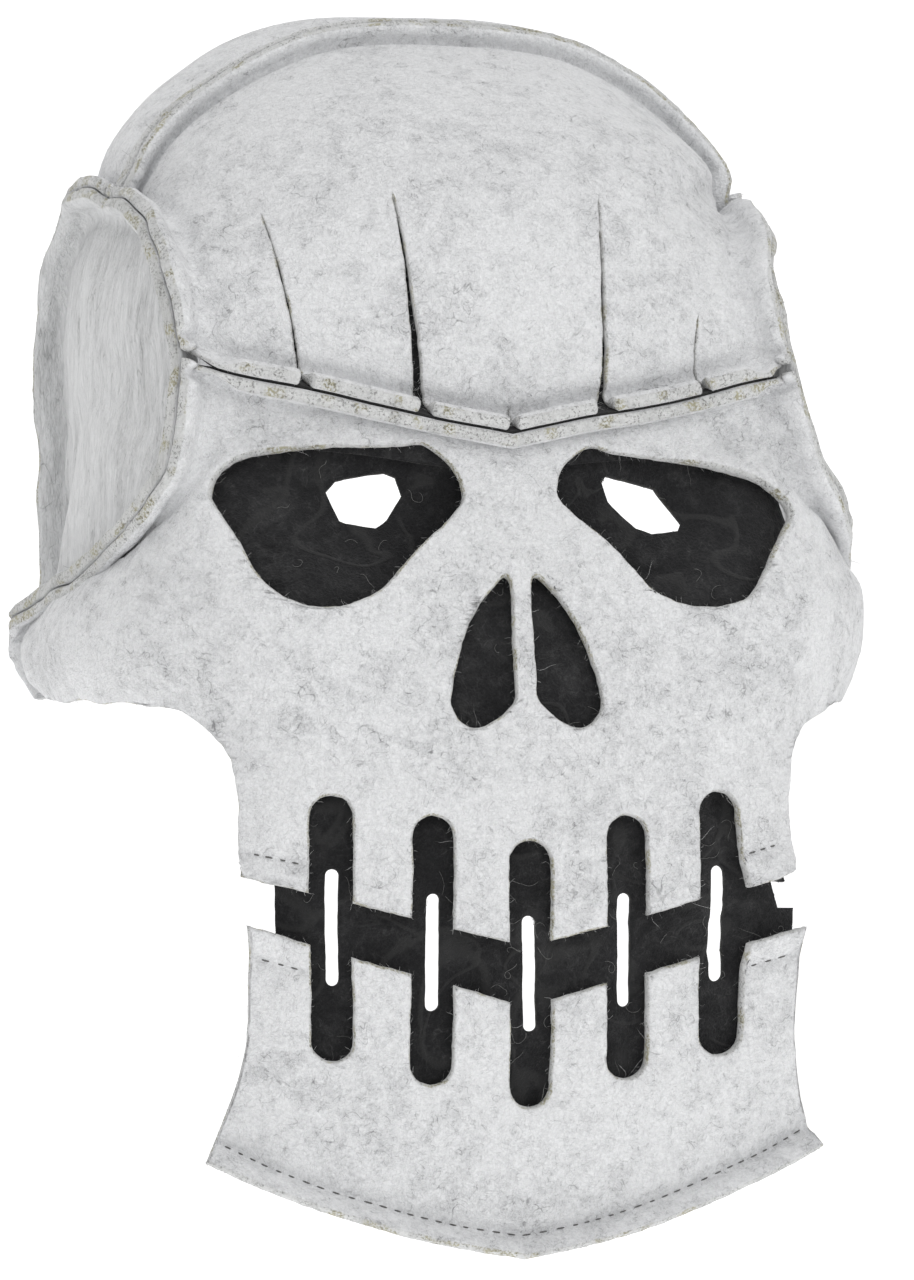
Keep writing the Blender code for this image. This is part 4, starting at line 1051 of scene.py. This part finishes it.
def buildFaceLining():
    first, last = liningLook["rows"]
    steps = np.concatenate([evenSteps(faceLine, first, tailRow), evenSteps(faceLine, tailRow, last)[1:]])
    grid = mirrored(faceRows(steps, False))
    outward = normalsOf(grid)
    inner = grid - outward * liningRelief(grid)[:, :, None]
    left = liningEdge + liningNotches[1] + liningChin
    right = liningEdge + liningNotches[0] + liningChin[:-1]
    keep = locate(grid, polygon(left + tuple((-g, d) for g, d in right[::-1])))
    keep[keep[:, 1] <= 0, 1] = -1
    shapes = [polygon(sightOutlines[0], True), polygon(sightOutlines[1])] + capsules(*teeth["slits"])
    return sewnPanel("faceLining", "face_lining", grid, (inner, inner + outward * form["lining"]),
                     [locate(grid, shape) for shape in shapes], [keep], cloth=blackCloth)


def buildForeheadLining(forehead):
    middle, reach = forehead.shape[1] // 2, liningLook["foreheadColumns"]
    top = liningLook["foreheadTop"] * form["height"]
    rows = next(k for k in range(foldRows + 1, len(forehead)) if form["originDrop"] - forehead[k, middle, 2] < top)
    strip = forehead[foldRows:rows, middle - reach:middle + reach + 1]
    outward = -normalsOf(strip)
    inner = strip - outward * (form["lining"] + form["liningAir"])
    sewnPanel("foreheadLining", "forehead_lining", strip, (inner, inner + outward * form["lining"]), cloth=blackCloth)


def buildBrowLining(name, grid, side):  # the lining is caught in the brow seam, and shows between the flaps
    strip = grid[1:foldRows + liningLook["seamRows"], 1:-1]
    outward = side * normalsOf(strip)
    outer = strip - outward * liningLook["seamGap"]
    sewnPanel(name, None, strip, (outer - outward * liningLook["seamWall"], outer),
              cloth=(blackFelt, "black_felt", liningLook["seamWall"]))


faceGrid = buildFace()
buildJaw()
crownWelt = (upward, seams["crown"])
foreheadGrid = buildDome("foreheadPanel", "forehead_panel", foreheadTable, foreheadSteps, browStation,
                         (forward, seams["brow"]), crownWelt, browOutlines)
buildDome("crownPanel", "crown_panel", crownTable, crownSteps, crownStation, crownWelt)
buildSides()
faceLining = buildFaceLining()
buildForeheadLining(foreheadGrid)
buildBrowLining("browLiningTop", foreheadGrid, -1)
buildBrowLining("browLiningFace", faceGrid, 1)


def tube(path, normal, radius, sides):  # a closed thread: rings round the path, and a point at each end
    heading = unit(np.gradient(path, axis=0))
    across = unit(np.cross(heading, normal))
    up = np.cross(across, heading)
    turn = np.arange(sides)[:, None] / sides * 2 * math.pi
    rings = path[1:-1, None] + (across[1:-1, None] * np.cos(turn) + up[1:-1, None] * np.sin(turn)) * radius
    points = np.concatenate([path[:1], rings.reshape(-1, 3), path[-1:]])
    count, last, faces = len(path) - 2, len(points) - 1, []
    for k in range(sides):
        j = (k + 1) % sides
        faces += [(0, 1 + k, 1 + j), (last, 1 + (count - 1) * sides + j, 1 + (count - 1) * sides + k)]
        faces += [(low + k, low + sides + k, low + sides + j, low + j)
                  for low in range(1, 1 + (count - 1) * sides, sides)]
    return points, faces


def tubePiece(name, tubes, finish, slot, soften=True):
    starts = np.cumsum([0] + [len(points) for points, _ in tubes]).tolist()
    faces = [tuple(start + k for k in side) for (_, sides), start in zip(tubes, starts) for side in sides]
    points = np.concatenate([points for points, _ in tubes])
    newPiece(name, softened(points) if soften else points, faces, finish, slot)


def buildStitches():
    tubes, random = [], np.random.default_rng(3)
    t = np.linspace(-1, 1, 9)
    for path, normal in threads:
        run = runOf(path)
        at = stitching["space"]
        while at + stitching["length"] < run[-1]:
            length = stitching["length"] * random.uniform(*stitching["lengths"])
            here = at + length * (t + 1) / 2
            out = unit(along(normal, run, here))
            lift = stitching["thread"] * (1.0 - 4.5 * np.abs(t) ** 3) - stitching["groove"]
            tubes.append(tube(along(path, run, here) + out * lift[:, None], out, stitching["thread"], 6))
            at += length + stitching["space"] * random.uniform(*stitching["spaces"])
    tubePiece("stitches", tubes, shadedSewingThread, "light_felt")


fuzz = {
    "spacing": 0.0009, "length": (0.0005, 0.0016), "radius": 0.000035, "longShare": 0.04, "longLength": 0.004,
    "greyShare": 0.4, "root": 0.0002, "spread": 0.42, "curl": 0.55, "wave": 0.12,
}


def buildFuzz():  # loose fibres standing out of the raw edges
    random = np.random.default_rng(11)
    pale, grey = [], []
    t = np.linspace(0, 1, 5)[:, None]
    for wall, places, outs, ups in rims:
        if wall < form["felt"]:
            continue
        for k in random.permutation(len(places))[:int(len(places) * form["edgeStep"] / fuzz["spacing"])]:
            side = np.cross(outs[k], ups[k])
            way = unit(outs[k] * random.uniform(0.4, 1.0) + side * random.uniform(-1, 1)
                       + ups[k] * random.uniform(-0.5, 0.5))
            curl = unit(random.normal(size=3))
            length = fuzz["longLength"] if random.random() < fuzz["longShare"] else random.uniform(*fuzz["length"])
            level = random.uniform(-fuzz["spread"], fuzz["spread"]) * wall
            start = places[k] + ups[k] * level - outs[k] * fuzz["root"]
            path = start + (way * t + curl * fuzz["curl"] * t ** 2 + side * fuzz["wave"] * np.sin(t * 5)) * length
            kind = grey if random.random() < fuzz["greyShare"] else pale
            kind.append(tube(path, unit(np.cross(way, curl)), fuzz["radius"], 3))
    tubePiece("edgeFuzzPale", pale, paleFuzz, "light_felt")
    tubePiece("edgeFuzzGrey", grey, greyFuzz, "light_felt")


liningHair = {
    "count": 150, "length": (0.003, 0.009), "shortest": 0.001, "radius": 0.00006, "steps": 14, "lift": 0.0002,
    "facing": -0.3, "keepBend": 0.85, "newBend": 0.22,
}


def buildLiningHairs():  # sparse curly hairs lying on the black lining
    random = np.random.default_rng(5)
    surface = bvhtree.BVHTree.FromObject(faceLining, bpy.context.evaluated_depsgraph_get())
    corners = [vertex.co for vertex in faceLining.data.vertices]
    tubes = []
    while len(tubes) < liningHair["count"]:
        start = corners[random.integers(len(corners))]
        place, normal, _, _ = surface.find_nearest(start + Vector((0, -0.01, 0)))
        if normal.y > liningHair["facing"]:
            continue
        way, bend, path = Vector(random.normal(size=3)).cross(normal).normalized(), random.normal() * 0.5, []
        step = random.uniform(*liningHair["length"]) / liningHair["steps"]
        for _ in range(liningHair["steps"]):
            path.append(np.array(place + normal * liningHair["lift"]))
            bend = bend * liningHair["keepBend"] + random.normal() * liningHair["newBend"]
            way = (way + normal.cross(way) * bend).normalized()
            place, normal, _, _ = surface.find_nearest(place + way * step)
        if np.linalg.norm(path[-1] - path[0]) > liningHair["shortest"]:
            tubes.append(tube(np.array(path), np.array(normal), liningHair["radius"], 3))
    tubePiece("liningHairs", tubes, greyFuzz, "black_felt", soften=False)


buildStitches()
buildFuzz()
buildLiningHairs()

# camera and studio
camera = {
    "azimuth": -15, "distance": 1.1, "target": (0, -0.095, -0.1482), "sensor": 24.0,
    "pixel": 0.000225,                     # its width at the target
    "frame": (914, 1280), "centre": 520,    # and the column that the target is in
}
studio = {
    "air": 0.36, "backdrop": 0.7, "paper": 0.6,    # brightness all round, more of it seen by the camera, of the sweep
    "reach": 9.0, "floor": -0.75, "back": 3.0, "rise": 6.0, "curve": 1.5, "steps": 16,
    "aim": (0, 0, -0.14),
    "lamps": {  # place, size and power
        "frontLight": ((-0.4, -2.1, 1.4), 1.4, 10.8), "rightLight": ((1.6, -1.5, 0.7), 1.2, 7.5),
        "topLight": ((-0.2, -0.5, 1.9), 1.6, 15)},
}


def aimed(name, data, place, target):
    thing = linked(name, data)
    thing.location = place
    thing.rotation_euler = (Vector(target) - Vector(place)).to_track_quat("-Z", "Y").to_euler()
    return thing


def placeCamera():
    data = bpy.data.cameras.new("photoCamera")
    width, height = camera["frame"]
    data.sensor_fit = "VERTICAL"
    data.sensor_height = camera["sensor"]
    data.lens = camera["sensor"] * camera["distance"] / (height * camera["pixel"])
    data.shift_x = -(camera["centre"] - width / 2) / height
    data.clip_start, data.clip_end = 0.05, 40
    turn = math.radians(camera["azimuth"])
    back = Vector((math.sin(turn), -math.cos(turn), 0)) * camera["distance"]
    bpy.context.scene.camera = aimed("photoCamera", data, Vector(camera["target"]) + back, camera["target"])


def placeStudio():
    floor = bpy.data.meshes.new("studioFloor")
    reach, level, back, curve = studio["reach"], studio["floor"], studio["back"], studio["curve"]
    profile = [(back + curve * math.sin(a), level + curve * (1 - math.cos(a)))
               for a in np.linspace(0, math.pi / 2, studio["steps"])]
    profile = [(-reach, level)] + profile + [(back + curve, studio["rise"])]
    points = [(x, y, z) for y, z in profile for x in (-reach, reach)]
    floor.from_pydata(points, [], [(2 * k, 2 * k + 1, 2 * k + 3, 2 * k + 2) for k in range(len(profile) - 1)])
    floor.shade_smooth()
    paper, _, _ = newMaterial("paleSweep", Base_Color=(0.93, 0.93, 0.93, 1), Roughness=0.95,
                              Emission_Color=(1, 1, 1, 1), Emission_Strength=studio["paper"])
    floor.materials.append(paper)
    linked("studioFloor", floor)
    world = bpy.data.worlds.new("studioAir")
    world.use_nodes = True
    tree = world.node_tree
    air = tree.nodes["Background"].inputs
    air["Color"].default_value = (1, 1, 1, 1)
    seen = wire(tree, "ShaderNodeLightPath").outputs["Is Camera Ray"]
    tree.links.new(sums(tree, "MULTIPLY_ADD", seen, studio["backdrop"], studio["air"]), air["Strength"])
    bpy.context.scene.world = world
    for name, (place, size, power) in studio["lamps"].items():
        data = bpy.data.lights.new(name, "AREA")
        data.shape, data.size, data.energy = "DISK", size, power
        aimed(name, data, place, studio["aim"])
    bpy.context.scene.view_settings.view_transform = "Standard"


placeCamera()
placeStudio()
print("camera and studio ready")
